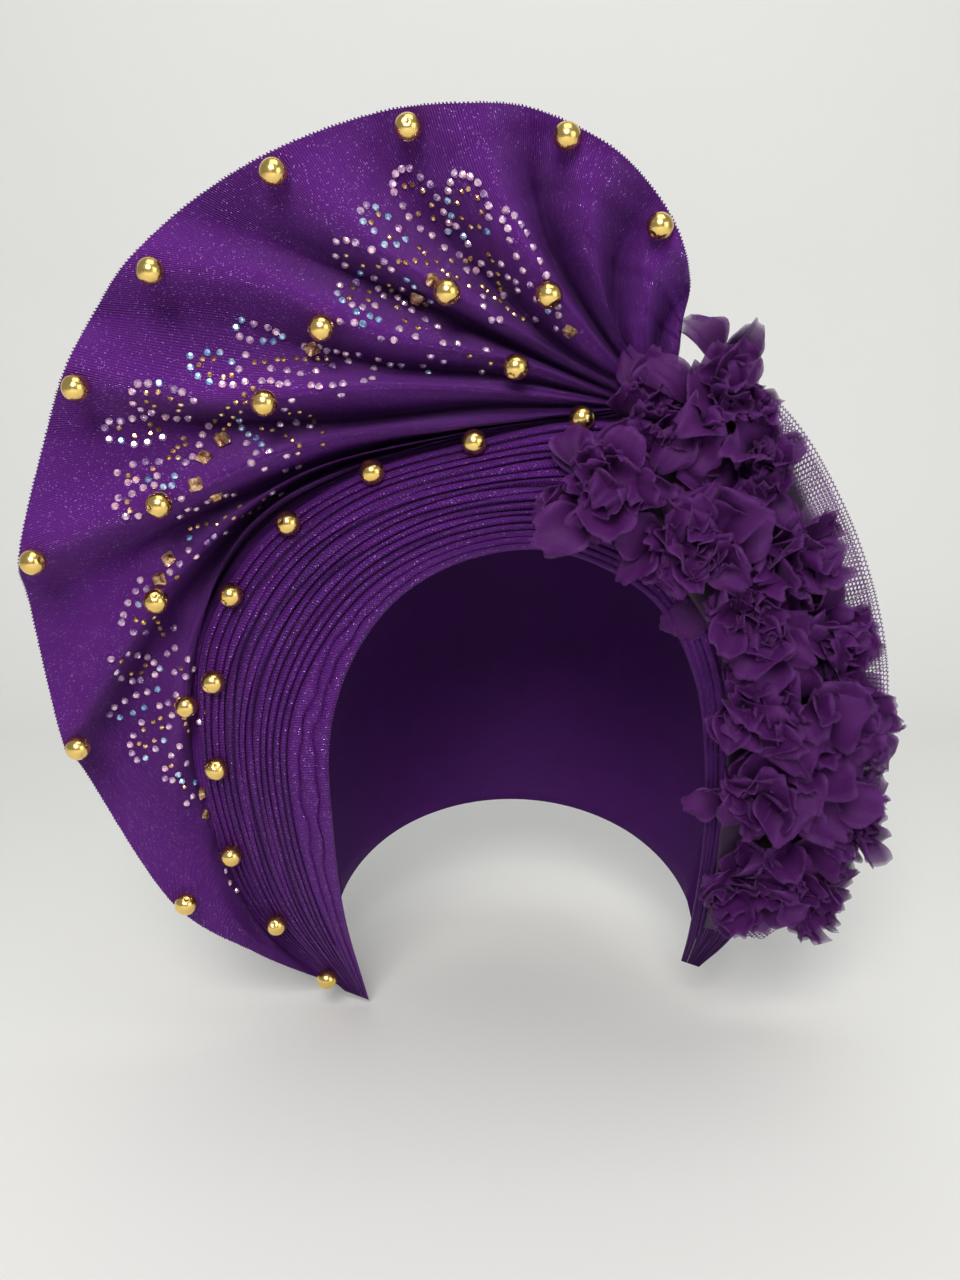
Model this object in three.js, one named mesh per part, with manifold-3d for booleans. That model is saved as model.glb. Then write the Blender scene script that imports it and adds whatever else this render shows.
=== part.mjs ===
// A ready-tied gele: a head tie of stiff ribbed cloth, folded into a fan and a pleated band,
// with chiffon flowers on a net ruffle, gold ball beads and square cut stones.
// Millimetres. +Z up, the wearer faces -Y, +X is to the right of someone who looks at the face.
// The origin is the crown of the wearer's head, inside the cap.
import * as THREE from 'three';
import { mergeVertices } from 'three/addons/utils/BufferGeometryUtils.js';
import Module from 'manifold-3d';

const wasm = await Module();
wasm.setup();

// Driving sizes
const CLOTH_WALL = 2.2;
const BAND_WALL = 2.6;
const CAP_WALL = 1.6;
const NET_WALL = 0.9;
const PETAL_WALL = 1.3;
const PIECE_GAP = 0.4;
const PLEATS = 13;
const PLEAT_HEIGHT = 1.3;
const FACE_ROLLS = 3;
const ROLL_HEIGHT = 1.4;
const BAND_BULGE = 7;
const FAN_TUCK_REACH = 3.4;
const BEAD_RADIUS = 4;
const BEAD_SIDES = 10;
const BEAD_RINGS = 5;
const STONE_SIDE = 4.4;
const STONE_HEIGHT = 1.7;
const STONE_TABLE = 0.55;
const STONE_CLIP = 0.3;

// The cap: an ellipsoid round the head, from a hem behind the band up to the crown. It meets the
// band at a share of the band's width, and flares out to the hem by a power of the way down.
const HEAD_AXES = new THREE.Vector3(79, 97, 113);
const HEAD_CENTRE = new THREE.Vector3(0, 0, -112);
const CROWN_DIRECTION = new THREE.Vector3(0, 0.15, 1).normalize();
const NAPE_AXES = { across: 70, back: 88 };
const NAPE_UP = -158;
const TAIL_UP = -174;
const CAP_MEETS_BAND = 0.75;
const CAP_FLARE = 0.6;
const CAP_TAIL_INSET = 0.02;
const CAP_BEHIND_BAND = 0.6;

// How many steps each sheet is divided into
const FAN_STEPS_PER_FOLD = 3;
const FAN_STEPS_OUT = 11;
const BAND_STEPS_ROUND = 29;
const ROLL_STEPS = 2;
const CAP_STEPS_FRONT = 24;
const CAP_STEPS_NAPE = 12;
const CAP_STEPS_UP = 5;
const NET_STEPS_ROUND = 27;
const NET_STEPS_OUT = 5;
const TUCK_SAMPLES_ROUND = 320;
const TUCK_SAMPLES_ACROSS = 40;
const SEAT_TRAVEL = 30;
const SEAT_STEPS = 11;

// The tables below give places as someone in front of the face sees them. Across and up are
// measured on the plane through VIEW_TARGET that faces the viewer, and deep is the part's own Y.
const VIEW_TARGET = new THREE.Vector3(-13, -45, -56);
const VIEW_DISTANCE = 420;
const VIEW_TILT = THREE.MathUtils.degToRad(12);
const viewAxis = new THREE.Vector3(0, Math.cos(VIEW_TILT), -Math.sin(VIEW_TILT));
const viewUp = new THREE.Vector3(0, Math.sin(VIEW_TILT), Math.cos(VIEW_TILT));
const viewer = VIEW_TARGET.clone().addScaledVector(viewAxis, -VIEW_DISTANCE);

function placeSeen(across, up, deep) {
  const ray = viewAxis.clone().multiplyScalar(VIEW_DISTANCE).addScaledVector(viewUp, up);
  ray.x += across;
  return viewer.clone().addScaledVector(ray, (deep - viewer.y) / ray.y);
}

// The folds of the fan, from its right edge round to the last slope before the band.
// Each row is one ridge (rise above 0) or one valley (below 0), with the places it passes
// from the knot to the rim, and how deep the cloth lies at the middle and at the rim.
const FAN_KNOT_DEEP = -54;
const FOLDS = [
  { knot: [64, 86], near: [65, 89], middle: [66, 93], far: [66, 96], rim: [66, 99], rise: 0, middleDeep: -50, rimDeep: -48 },
  { knot: [62, 86], near: [64, 92], middle: [66, 98], far: [67, 103], rim: [68, 108], rise: 3, middleDeep: -54, rimDeep: -56 },
  { knot: [60, 85], near: [59, 94], middle: [60, 103], far: [64, 111], rim: [70, 119], rise: -4, middleDeep: -56, rimDeep: -62 },
  { knot: [59, 84], near: [55, 97], middle: [55, 111], far: [58, 124], rim: [67, 134], rise: 6, middleDeep: -60, rimDeep: -70 },
  { knot: [58, 83], near: [47, 98], middle: [44, 115], far: [47, 133], rim: [58, 150], rise: -7, middleDeep: -62, rimDeep: -74 },
  { knot: [57, 83], near: [45, 105], middle: [37, 128], far: [36, 147], rim: [43, 165], rise: 8, middleDeep: -64, rimDeep: -77 },
  { knot: [55, 83], near: [38, 105], middle: [24, 129], far: [18, 153], rim: [18, 177], rise: -8, middleDeep: -66, rimDeep: -79 },
  { knot: [54, 82], near: [34, 104], middle: [17, 128], far: [3, 153], rim: [-5, 179], rise: 8, middleDeep: -67, rimDeep: -80 },
  { knot: [53, 82], near: [25, 98], middle: [-1, 124], far: [-22, 149], rim: [-33, 176], rise: -8, middleDeep: -68, rimDeep: -81 },
  { knot: [51, 81], near: [21, 98], middle: [-13, 117], far: [-46, 139], rim: [-67, 164], rise: 8, middleDeep: -68, rimDeep: -81 },
  { knot: [50, 80], near: [15, 96], middle: [-21, 113], far: [-59, 129], rim: [-95, 147], rise: -7, middleDeep: -68, rimDeep: -80 },
  { knot: [49, 79], near: [11, 93], middle: [-32, 102], far: [-74, 120], rim: [-117, 127], rise: 7, middleDeep: -68, rimDeep: -79 },
  { knot: [49, 79], near: [7, 88], middle: [-36, 92], far: [-81, 105], rim: [-128, 110], rise: -7, middleDeep: -67, rimDeep: -78 },
  { knot: [48, 78], near: [3, 83], middle: [-43, 84], far: [-89, 81], rim: [-138, 91], rise: 8, middleDeep: -66, rimDeep: -76 },
  { knot: [48, 77.6], near: [1, 78], middle: [-45, 73], far: [-92, 73], rim: [-144.5, 69], rise: -8, middleDeep: -64, rimDeep: -75 },
  { knot: [47.3, 77.2], near: [-3.3, 71.7], middle: [-51, 67], far: [-100, 49], rim: [-153.5, 29], rise: 9, middleDeep: -62, rimDeep: -74 },
  { knot: [46.7, 76.7], near: [-6, 69.7], middle: [-50, 59], far: [-103, 38], rim: [-150, 12], rise: -8, middleDeep: -58, rimDeep: -70 },
  { knot: [46, 76.3], near: [-11.3, 67.8], middle: [-63, 54], far: [-101, 22], rim: [-139, -34], rise: 8, middleDeep: -56, rimDeep: -54 },
  { knot: [45.3, 76], near: [-14, 66.7], middle: [-63, 51], far: [-104, 11], rim: [-132, -43], rise: -6, middleDeep: -52, rimDeep: -46 },
  { knot: [44.7, 75.7], near: [-18.3, 65], middle: [-78, 37], far: [-98, -22], rim: [-103, -87], rise: 7, middleDeep: -50, rimDeep: -26 },
  { knot: [44, 75.3], near: [-20.7, 63.7], middle: [-76.7, 35.3], far: [-96.3, -22.3], rim: [-75, -104], rise: 0, middleDeep: -47, rimDeep: -12 },
];

// The fan's last two lines are sewn behind the band: they follow its outer edge, by station,
// from the knot to the left tail, one outside the edge and one inside it.
const SEWN_ROWS = [
  { station: 8.1, outside: 1.4, inside: 4 },
  { station: 6.55, outside: 1.4, inside: 4 },
  { station: 4.95, outside: 2, inside: 4 },
  { station: 3.15, outside: 2.6, inside: 4 },
  { station: 0.1, outside: 3.4, inside: 2 },
];

// Stations of the band, from the tail at the left over the forehead to the tail at the right.
// Inner is the edge of the face opening, outer the edge that stands up in front of the fan,
// and face is the width of the rolls that edge the opening.
const STATIONS = [
  { inner: [-37, -120, 12], outer: [-45, -117, 14], face: 2 },
  { inner: [-45, -92, -18], outer: [-75, -91, -4], face: 8 },
  { inner: [-49, -62, -44], outer: [-89, -59, -28], face: 13 },
  { inner: [-50, -33, -53], outer: [-94, -27, -40], face: 14 },
  { inner: [-43, -8, -57], outer: [-91, 3, -46], face: 12 },
  { inner: [-28, 13, -61], outer: [-73, 33, -51], face: 10 },
  { inner: [-6, 26, -64], outer: [-43, 54, -54], face: 8.5 },
  { inner: [20, 30, -64], outer: [-3, 66, -56], face: 8 },
  { inner: [43, 23, -63], outer: [37, 73, -56], face: 8 },
  { inner: [61, 9, -61], outer: [81, 65, -52], face: 8 },
  { inner: [72, -15, -56], outer: [109, 31, -44], face: 7 },
  { inner: [75, -43, -50], outer: [119, -20, -36], face: 5 },
  { inner: [74, -70, -36], outer: [107, -70, -22], face: 3.5 },
  { inner: [70, -95, -14], outer: [85, -98, -4], face: 3 },
  { inner: [67, -107, 3], outer: [73, -109, 5], face: 2 },
];

// The net ruffle: by station, how far across the band it starts and how far it stands out past it.
const NET_ROWS = [
  { station: 8.45, from: 0.5, past: 9 },
  { station: 9, from: 0.22, past: 21 },
  { station: 10, from: 0.22, past: 17 },
  { station: 11, from: 0.16, past: 17 },
  { station: 12, from: 0.16, past: 17 },
  { station: 13, from: 0.3, past: 7 },
];
const NET_WAVE = 2.2;
const NET_WAVES = 9;
const NET_LIFT = PLEAT_HEIGHT + 2 * PIECE_GAP;

// The flowers: where each is seen, its radius, and how far it leans to the right and up, in degrees.
const FLOWERS = [
  { at: [80, 80], radius: 14, right: 20, up: 25 },
  { at: [38, 50], radius: 15, right: -15, up: 0 },
  { at: [59, 70], radius: 12.5, right: 0, up: 15 },
  { at: [90, 55], radius: 15, right: 15, up: 10 },
  { at: [68, 35], radius: 14, right: -10, up: 0 },
  { at: [104, 28], radius: 15, right: 25, up: 5 },
  { at: [86, 10], radius: 14, right: 0, up: 0 },
  { at: [116, 0], radius: 14.5, right: 30, up: 0 },
  { at: [92, -20], radius: 15, right: 0, up: 0 },
  { at: [122, -28], radius: 15, right: 35, up: 0 },
  { at: [92, -50], radius: 15, right: 5, up: -5 },
  { at: [119, -56], radius: 14, right: 35, up: -10 },
  { at: [86, -79], radius: 14, right: 5, up: -15 },
  { at: [107, -82], radius: 13.5, right: 30, up: -20 },
];

// The two tiers of a flower: reach and cup as shares of its radius, the turn of the tier in
// radians, how far it is lifted off the net, and how finely it is divided.
const PETALS = 5;
const PETAL_LOBE = 0.12;
const PETAL_CURL = 0.18;
const PETAL_CURL_PHASE = 2.4;
const FLOWER_SPIN = 0.7;
const FLOWER_TIERS = [
  { reach: 1, cup: 0.5, turn: 0, lift: 0, samples: 3, rings: 2 },
  { reach: 0.6, cup: 0.68, turn: 0.6, lift: 0.7, samples: 2, rings: 1 },
];

// Gold beads, where each is seen, by the row they are sewn in.
const BEADS = {
  rim: [
    [60, 138], [29, 168], [-24, 171], [-69, 156], [-110, 123], [-135, 84], [-149, 26], [-134, -36], [-98, -88], [-51, -113],
  ],
  middle: [[23, 115], [-11, 116], [-53, 104], [-72, 79], [-107, 45], [-108, 13], [-98, -22], [12, 91]],
  band: [[34, 74], [-2, 66], [-36, 56], [-64, 39], [-83, 15], [-89, -14], [-88, -43], [-83, -72], [-68, -95]],
};

// Square stones, where each is seen and how far it is turned, in degrees.
const SQUARE_STONES = [
  { at: [-16, 120], turn: 30 },
  { at: [-21, 114], turn: 15 },
  { at: [30, 103], turn: 5 },
  { at: [-56, 97], turn: 40 },
  { at: [-86, 67], turn: 35 },
  { at: [-95, 52], turn: 10 },
  { at: [-88, 48], turn: 5 },
  { at: [-92, 61], turn: 60 },
  { at: [-104, 27], turn: 20 },
  { at: [-107, 20], turn: 5 },
  { at: [-93, -51], turn: 15 },
  { at: [-92, -58], turn: 40 },
];

// Finishes
const ribbedCloth = new THREE.MeshStandardMaterial({ color: 0x43185f, roughness: 0.55, metalness: 0.1 });
const pleatedCloth = new THREE.MeshStandardMaterial({ color: 0x3d1559, roughness: 0.55, metalness: 0.1 });
const rolledCloth = new THREE.MeshStandardMaterial({ color: 0x4a1c70, roughness: 0.5, metalness: 0.1 });
const plainCloth = new THREE.MeshStandardMaterial({ color: 0x351249, roughness: 0.7, metalness: 0 });
const chiffon = new THREE.MeshStandardMaterial({ color: 0x4f2560, roughness: 0.6, metalness: 0 });
const net = new THREE.MeshStandardMaterial({ color: 0x6a3a86, roughness: 0.7, metalness: 0 });
const gold = new THREE.MeshStandardMaterial({ color: 0xd2a437, roughness: 0.15, metalness: 1 });
const cutGlass = new THREE.MeshStandardMaterial({ color: 0xb98b4a, roughness: 0.1, metalness: 0.2 });

// Curves through the rows of a table

function curveThrough(points) {
  const places = points.map((point) => new THREE.Vector3(point[0], point[1], point[2] ?? 0));
  return new THREE.CatmullRomCurve3(places, false, 'catmullrom', 0.5);
}

function stepsTo(count) {
  return Array.from({ length: count + 1 }, (_, step) => step / count);
}

function mix(from, to, share) {
  return from + (to - from) * share;
}

// One closed solid from a front and a back sheet of points. A round sheet joins up with itself,
// a last column that is one single point closes as a pole, and a cell that isOpen names is a
// window through the sheet. Each cell is cut along its shorter diagonal, which keeps triangles wide.
function sheetSolid(front, back, { round = false, isOpen = () => false } = {}) {
  const corners = [];
  const add = (a, b, c) => corners.push(...a.toArray(), ...b.toArray(), ...c.toArray());
  const quad = (a, b, c, d) => {
    if (a.distanceTo(c) <= b.distanceTo(d)) {
      add(a, b, c);
      add(a, c, d);
    } else {
      add(a, b, d);
      add(b, c, d);
    }
  };
  const last = front.length - 1;
  const rows = round ? front.length : last;
  for (let row = 0; row < rows; row += 1) {
    const next = (row + 1) % front.length;
    const [f0, f1, b0, b1] = [front[row], front[next], back[row], back[next]];
    for (let column = 0; column < f0.length - 1; column += 1) {
      if (!isOpen(row, column)) {
        quad(f0[column], f1[column], f1[column + 1], f0[column + 1]);
      }
    }
    for (let column = 0; column < b0.length - 1; column += 1) {
      if (!isOpen(row, column)) {
        quad(b0[column], b0[column + 1], b1[column + 1], b1[column]);
      } else {
        windowWalls([f0[column], f1[column], f1[column + 1], f0[column + 1]],
          [b0[column], b1[column], b1[column + 1], b0[column + 1]], quad);
      }
    }
    quad(f0[0], b0[0], b1[0], f1[0]);
    quad(f0.at(-1), f1.at(-1), b1.at(-1), b0.at(-1));
  }
  if (!round) {
    closeEnd(front[0], back[0], add);
    closeEnd(back[last], front[last], add);
  }
  return closedGeometry(corners);
}

function windowWalls(front, back, quad) {
  front.forEach((corner, at) => {
    const next = (at + 1) % front.length;
    quad(corner, front[next], back[next], back[at]);
  });
}

// The end wall between two lines of points that may have different numbers of points
function closeEnd(line, other, add) {
  let [near, far] = [0, 0];
  while (near < line.length - 1 || far < other.length - 1) {
    const nextNear = (near + 1) / (line.length - 1);
    const nextFar = (far + 1) / (other.length - 1);
    if (nextNear <= nextFar) {
      add(line[near], line[near + 1], other[far]);
      near += 1;
    } else {
      add(line[near], other[far + 1], other[far]);
      far += 1;
    }
  }
}

function closedGeometry(corners) {
  const loose = new THREE.BufferGeometry();
  loose.setAttribute('position', new THREE.Float32BufferAttribute(corners, 3));
  const geometry = mergeVertices(loose, 1e-3);
  const kept = withoutFlatTriangles(geometry.index.array);
  geometry.setIndex(kept);
  if (volumeOf(geometry) < 0) {
    geometry.setIndex(kept.map((_, at) => kept[at % 3 === 1 ? at + 1 : at % 3 === 2 ? at - 1 : at]));
  }
  geometry.computeVertexNormals();
  return geometry;
}

function trianglesOf(geometry) {
  const position = geometry.getAttribute('position');
  const index = geometry.index.array;
  const triangles = [];
  for (let at = 0; at < index.length; at += 3) {
    const triangle = new THREE.Triangle();
    triangle.setFromAttributeAndIndices(position, index[at], index[at + 1], index[at + 2]);
    triangles.push(triangle);
  }
  return triangles;
}

function volumeOf(geometry) {
  const cross = new THREE.Vector3();
  return trianglesOf(geometry).reduce((sum, { a, b, c }) => sum + a.dot(cross.crossVectors(b, c)) / 6, 0);
}

// Boolean solids, for joining a flower's tiers and for seating pieces

function solidOf(geometry) {
  const bare = geometry.clone();
  bare.deleteAttribute('normal');
  bare.deleteAttribute('uv');
  const merged = mergeVertices(bare, 1e-3);
  return new wasm.Manifold(new wasm.Mesh({
    numProp: 3,
    vertProperties: new Float32Array(merged.getAttribute('position').array),
    triVerts: new Uint32Array(withoutFlatTriangles(merged.index.array)),
  }));
}

function withoutFlatTriangles(index) {
  const kept = [];
  for (let at = 0; at < index.length; at += 3) {
    const [a, b, c] = index.slice(at, at + 3);
    if (a !== b && b !== c && c !== a) {
      kept.push(a, b, c);
    }
  }
  return kept;
}

function joined(geometries) {
  const whole = geometries.map(solidOf).reduce((sum, solid) => sum.add(solid)).getMesh();
  const geometry = new THREE.BufferGeometry();
  geometry.setAttribute('position', new THREE.BufferAttribute(new Float32Array(whole.vertProperties), 3));
  geometry.setIndex(Array.from(whole.triVerts));
  geometry.computeVertexNormals();
  return geometry;
}

// Seating: a piece slides along its line of sight until it just clears the cloth that carries it,
// and then comes PIECE_GAP forward.

// The triangle of the cloth that the line of sight meets first, and where
function sightOn([across, up], triangles) {
  const ray = new THREE.Ray(viewer, placeSeen(across, up, 0).sub(viewer).normalize());
  let nearest = { distance: Infinity };
  for (const triangle of triangles) {
    const point = ray.intersectTriangle(triangle.a, triangle.b, triangle.c, false, new THREE.Vector3());
    if (point && point.distanceTo(viewer) < nearest.distance) {
      nearest = { distance: point.distanceTo(viewer), point, triangle };
    }
  }
  return nearest;
}

// Halves the stretch between a clear depth and a sunk one until only the place of contact is left
function seat(geometry, at, turn, cloth, touching) {
  const touches = (deep) => {
    const place = new THREE.Matrix4().compose(placeSeen(...at, deep), turn, new THREE.Vector3(1, 1, 1));
    const moved = solidOf(geometry.clone().applyMatrix4(place));
    return cloth.some((solid) => solid.intersect(moved).volume() > 0);
  };
  let [clear, sunk] = [touching - SEAT_TRAVEL, touching];
  for (let step = 0; step < SEAT_STEPS; step += 1) {
    const deep = (clear + sunk) / 2;
    if (touches(deep)) {
      sunk = deep;
    } else {
      clear = deep;
    }
  }
  return placeSeen(...at, clear - PIECE_GAP);
}

// The pleated band and the rolls share one base surface: share 0 is the face opening, 1 the outer edge.
const innerEdge = curveThrough(STATIONS.map((station) => station.inner));
const outerEdge = curveThrough(STATIONS.map((station) => station.outer));
const faceWidth = curveThrough(STATIONS.map((station, row) => [row, station.face]));

function bandSeen(along, share) {
  const seen = innerEdge.getPoint(along).lerp(outerEdge.getPoint(along), share);
  seen.z -= BAND_BULGE * Math.sin(Math.PI * along) * 4 * share * (1 - share);
  return seen;
}

function bandWidth(along) {
  const [inner, outer] = [innerEdge.getPoint(along), outerEdge.getPoint(along)];
  return Math.hypot(outer.x - inner.x, outer.y - inner.y);
}

function faceShare(along) {
  return faceWidth.getPoint(along).y / bandWidth(along);
}

function bandSheet(shareSteps, height, drop = 0) {
  return stepsTo(BAND_STEPS_ROUND).map((along) => shareSteps(along).map((share, column) => {
    const seen = bandSeen(along, share);
    return placeSeen(seen.x, seen.y, seen.z - height(column) + drop);
  }));
}

function pleatedBand() {
  const shares = (count) => (along) => {
    const start = faceShare(along) + PIECE_GAP / bandWidth(along);
    return stepsTo(count).map((step) => mix(start, 1, step));
  };
  const crest = (column) => (column % 2 === 1 ? PLEAT_HEIGHT : 0);
  return sheetSolid(bandSheet(shares(2 * PLEATS), crest), bandSheet(shares(4), () => 0, BAND_WALL));
}

function faceBand() {
  const shares = (count) => (along) => stepsTo(count).map((step) => faceShare(along) * step);
  const roll = (column) => (column % ROLL_STEPS === 0 ? 0 : ROLL_HEIGHT);
  return sheetSolid(bandSheet(shares(ROLL_STEPS * FACE_ROLLS), roll), bandSheet(shares(2), () => 0, BAND_WALL));
}

// The fan: a sheet across the folds, smooth through the rows of FOLDS

function foldHeight(out) {
  const { smoothstep } = THREE.MathUtils;
  return 0.2 + 0.8 * smoothstep(out, 0, 0.5) - 0.35 * smoothstep(out, 0.6, 1);
}

// A parabola through the depths at the knot, the middle and the rim, and the fold's rise on it
function foldDeep(fold, out) {
  const parabola = 2 * (0.5 - out) * (1 - out) * FAN_KNOT_DEEP
    + 4 * out * (1 - out) * fold.middleDeep
    + 2 * out * (out - 0.5) * fold.rimDeep;
  return parabola - fold.rise * foldHeight(out);
}

// The steps from knot to rim are closer together towards the rim
function closerToRim(step) {
  return mix(step, Math.sin(Math.PI * step / 2), 0.8);
}

function sewnLine(offsetOf) {
  const rows = curveThrough(SEWN_ROWS.map((row) => [row.station, offsetOf(row)]));
  return (out) => {
    const { x: station, y: offset } = rows.getPoint(out);
    const along = station / (STATIONS.length - 1);
    const [inner, edge] = [innerEdge.getPoint(along), outerEdge.getPoint(along)];
    const share = offset / bandWidth(along);
    return [edge.x + (edge.x - inner.x) * share, edge.y + (edge.y - inner.y) * share, edge.z + BAND_WALL];
  };
}

// The fan passes behind the band: close to the band's edge its cloth lies clear of the band's back
function tuckedDeep(point, bandFront) {
  const near = bandFront.filter((place) => Math.hypot(place.x - point.x, place.y - point.y) < FAN_TUCK_REACH);
  return near.reduce((deep, place) => Math.max(deep, place.z + BAND_WALL + 2 * PIECE_GAP), point.z);
}

function fan() {
  const folds = FOLDS.map((fold) => {
    const curve = curveThrough([fold.knot, fold.near, fold.middle, fold.far, fold.rim]);
    return (out) => {
      const place = curve.getPoint(out);
      return [place.x, place.y, foldDeep(fold, out)];
    };
  });
  const lines = [...folds, sewnLine((row) => row.outside), sewnLine((row) => -row.inside)];
  const bandFront = stepsTo(TUCK_SAMPLES_ROUND)
    .flatMap((along) => stepsTo(TUCK_SAMPLES_ACROSS).map((share) => bandSeen(along, share)));
  const rounds = stepsTo(FAN_STEPS_OUT).map(closerToRim)
    .map((out) => curveThrough(lines.map((line) => line(out))));
  const seen = stepsTo(FAN_STEPS_PER_FOLD * (lines.length - 1)).map((share) => rounds.map((round) => {
    const point = round.getPoint(share);
    point.z = tuckedDeep(point, bandFront);
    return point;
  }));
  const sheet = (drop) => seen.map((row) => row.map((point) => placeSeen(point.x, point.y, point.z + drop)));
  return sheetSolid(sheet(0), sheet(CLOTH_WALL));
}

// The cap: a loop behind the band and round the nape, drawn up over the head to the crown

function capLoop() {
  const front = stepsTo(CAP_STEPS_FRONT).map((step) => {
    const seen = bandSeen(mix(CAP_TAIL_INSET, 1 - CAP_TAIL_INSET, step), CAP_MEETS_BAND);
    return placeSeen(seen.x, seen.y, seen.z + BAND_WALL + CAP_BEHIND_BAND);
  });
  const angleOf = (point) => Math.atan2(point.y / NAPE_AXES.back, point.x / NAPE_AXES.across);
  const [from, to] = [angleOf(front.at(-1)), angleOf(front[0])];
  const nape = stepsTo(CAP_STEPS_NAPE).slice(1, -1).map((step) => {
    const angle = mix(from, to, step);
    return new THREE.Vector3(
      NAPE_AXES.across * Math.cos(angle),
      NAPE_AXES.back * Math.sin(angle),
      mix(TAIL_UP, NAPE_UP, Math.sin(Math.PI * step)),
    );
  });
  return [...front, ...nape];
}

function headCap() {
  const loop = capLoop();
  const sheet = (wall) => loop.map((hem) => {
    const from = hem.clone().sub(HEAD_CENTRE).divide(HEAD_AXES);
    const length = from.length();
    from.normalize();
    const angle = from.angleTo(CROWN_DIRECTION);
    return stepsTo(CAP_STEPS_UP).map((step) => {
      const direction = from.clone().multiplyScalar(Math.sin((1 - step) * angle))
        .addScaledVector(CROWN_DIRECTION, Math.sin(step * angle)).normalize();
      const place = direction.multiply(HEAD_AXES).multiplyScalar(mix(length, 1, step ** CAP_FLARE));
      return place.setLength(place.length() - wall).add(HEAD_CENTRE);
    });
  });
  return sheetSolid(sheet(0), sheet(CAP_WALL), { round: true });
}

// The net ruffle lies on the right half of the band and stands out past it, with a wavy rim.
// Windows through it stand for the open cells of the net.
function tulleNet(isOpen) {
  const rows = curveThrough(NET_ROWS.map(({ station, from, past }) => [station, from, past]));
  const sheet = (drop) => stepsTo(NET_STEPS_ROUND).map((step) => {
    const { x: station, y: from, z: past } = rows.getPoint(step);
    const along = station / (STATIONS.length - 1);
    const width = bandWidth(along);
    const inner = innerEdge.getPoint(along);
    const outer = outerEdge.getPoint(along);
    return stepsTo(NET_STEPS_OUT).map((out) => {
      const share = mix(from, 1 + past / width, out);
      const place = inner.clone().lerp(outer, share);
      const beyond = Math.max(share - 1, 0) * width / past;
      const wave = NET_WAVE * beyond * Math.cos(2 * Math.PI * NET_WAVES * step);
      return placeSeen(place.x, place.y, bandSeen(along, Math.min(share, 1)).z - NET_LIFT - drop + wave);
    });
  });
  return sheetSolid(sheet(NET_WALL), sheet(0), { isOpen });
}

// Every second cell both ways is a window
function isNetWindow(row, column) {
  return row % 2 === 1 && column % 2 === 1;
}

// A flower: two tiers of cupped petals round one hub, hub towards the net. The reach and the
// height of a tier rise and fall once a petal, and the two waves are a phase apart, so that one
// side of each petal stands higher than the other.

function petalTier({ reach, cup, samples, rings, turn, lift }) {
  const angles = stepsTo(PETALS * samples).slice(0, -1).map((step) => 2 * Math.PI * step);
  const sheet = (wall) => angles.map((angle) => stepsTo(rings).map((step) => {
    const out = 1 - step;
    const lobe = 1 - PETAL_LOBE + PETAL_LOBE * Math.cos(PETALS * angle);
    const distance = reach * out * mix(1, lobe, out);
    const height = cup * out ** 1.5 * (1 + PETAL_CURL * Math.cos(PETALS * angle + PETAL_CURL_PHASE));
    return new THREE.Vector3(
      distance * Math.cos(angle + turn),
      distance * Math.sin(angle + turn),
      height + wall + lift,
    );
  }));
  return sheetSolid(sheet(PETAL_WALL), sheet(0), { round: true });
}

// The tiers' sizes are shares of the flower's radius
function flowerGeometry(radius, turn) {
  return joined(FLOWER_TIERS.map((tier) => petalTier({
    reach: radius * tier.reach,
    cup: radius * tier.cup,
    samples: tier.samples,
    rings: tier.rings,
    turn: turn + tier.turn,
    lift: tier.lift,
  })));
}

// The direction a piece faces: towards the viewer, leaned to the right and up
function facing(right, up) {
  const toRight = THREE.MathUtils.degToRad(right);
  const toUp = THREE.MathUtils.degToRad(up);
  return new THREE.Vector3(Math.sin(toRight), -Math.cos(toRight) * Math.cos(toUp), Math.sin(toUp)).normalize();
}

// A square stone: a square girdle with clipped corners, a table, and eight facets between them
function squareStoneGeometry() {
  const clippedSquare = (half, clip, height) => [[1, -1], [1, 1], [-1, 1], [-1, -1]].flatMap(([x, y]) => {
    const pair = [[x * half, y * (half - clip)], [x * (half - clip), y * half]];
    return (x * y > 0 ? pair : pair.reverse()).map(([px, py]) => new THREE.Vector3(px, py, height));
  });
  const half = STONE_SIDE / 2;
  const girdle = clippedSquare(half, half * STONE_CLIP, 0);
  const table = clippedSquare(half * STONE_TABLE, half * STONE_CLIP * STONE_TABLE, STONE_HEIGHT);
  const foot = new THREE.Vector3(0, 0, 0);
  const top = new THREE.Vector3(0, 0, STONE_HEIGHT);
  const corners = girdle.flatMap((g0, at) => {
    const next = (at + 1) % girdle.length;
    const [g1, t0, t1] = [girdle[next], table[at], table[next]];
    return [g0, g1, t1, g0, t1, t0, t0, t1, top, g1, g0, foot].flatMap((point) => point.toArray());
  });
  return closedGeometry(corners);
}

// Assembly
const gele = new THREE.Group();
const UP = new THREE.Vector3(0, 0, 1);

function addPiece(name, geometry, material) {
  const mesh = new THREE.Mesh(geometry, material);
  mesh.name = name;
  gele.add(mesh);
  return mesh;
}

function numbered(name, number) {
  return `${name}_${String(number + 1).padStart(2, '0')}`;
}

// Adds a piece that is sewn or glued on the cloth, facing a direction and spun about it
function addSeated(name, geometry, material, { at, faces, spin = 0, cloth, touching }) {
  const turn = new THREE.Quaternion().setFromUnitVectors(UP, faces)
    .multiply(new THREE.Quaternion().setFromAxisAngle(UP, spin));
  const piece = addPiece(name, geometry, material);
  piece.quaternion.copy(turn);
  piece.position.copy(seat(geometry, at, turn, cloth, touching));
}

const bandGeometry = pleatedBand();
const fanGeometry = fan();
const netGeometry = tulleNet(isNetWindow);
addPiece('head_cap', headCap(), plainCloth);
addPiece('pleated_band', bandGeometry, pleatedCloth);
addPiece('face_band', faceBand(), rolledCloth);
addPiece('fan', fanGeometry, ribbedCloth);
addPiece('tulle_net', netGeometry, net);

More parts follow.
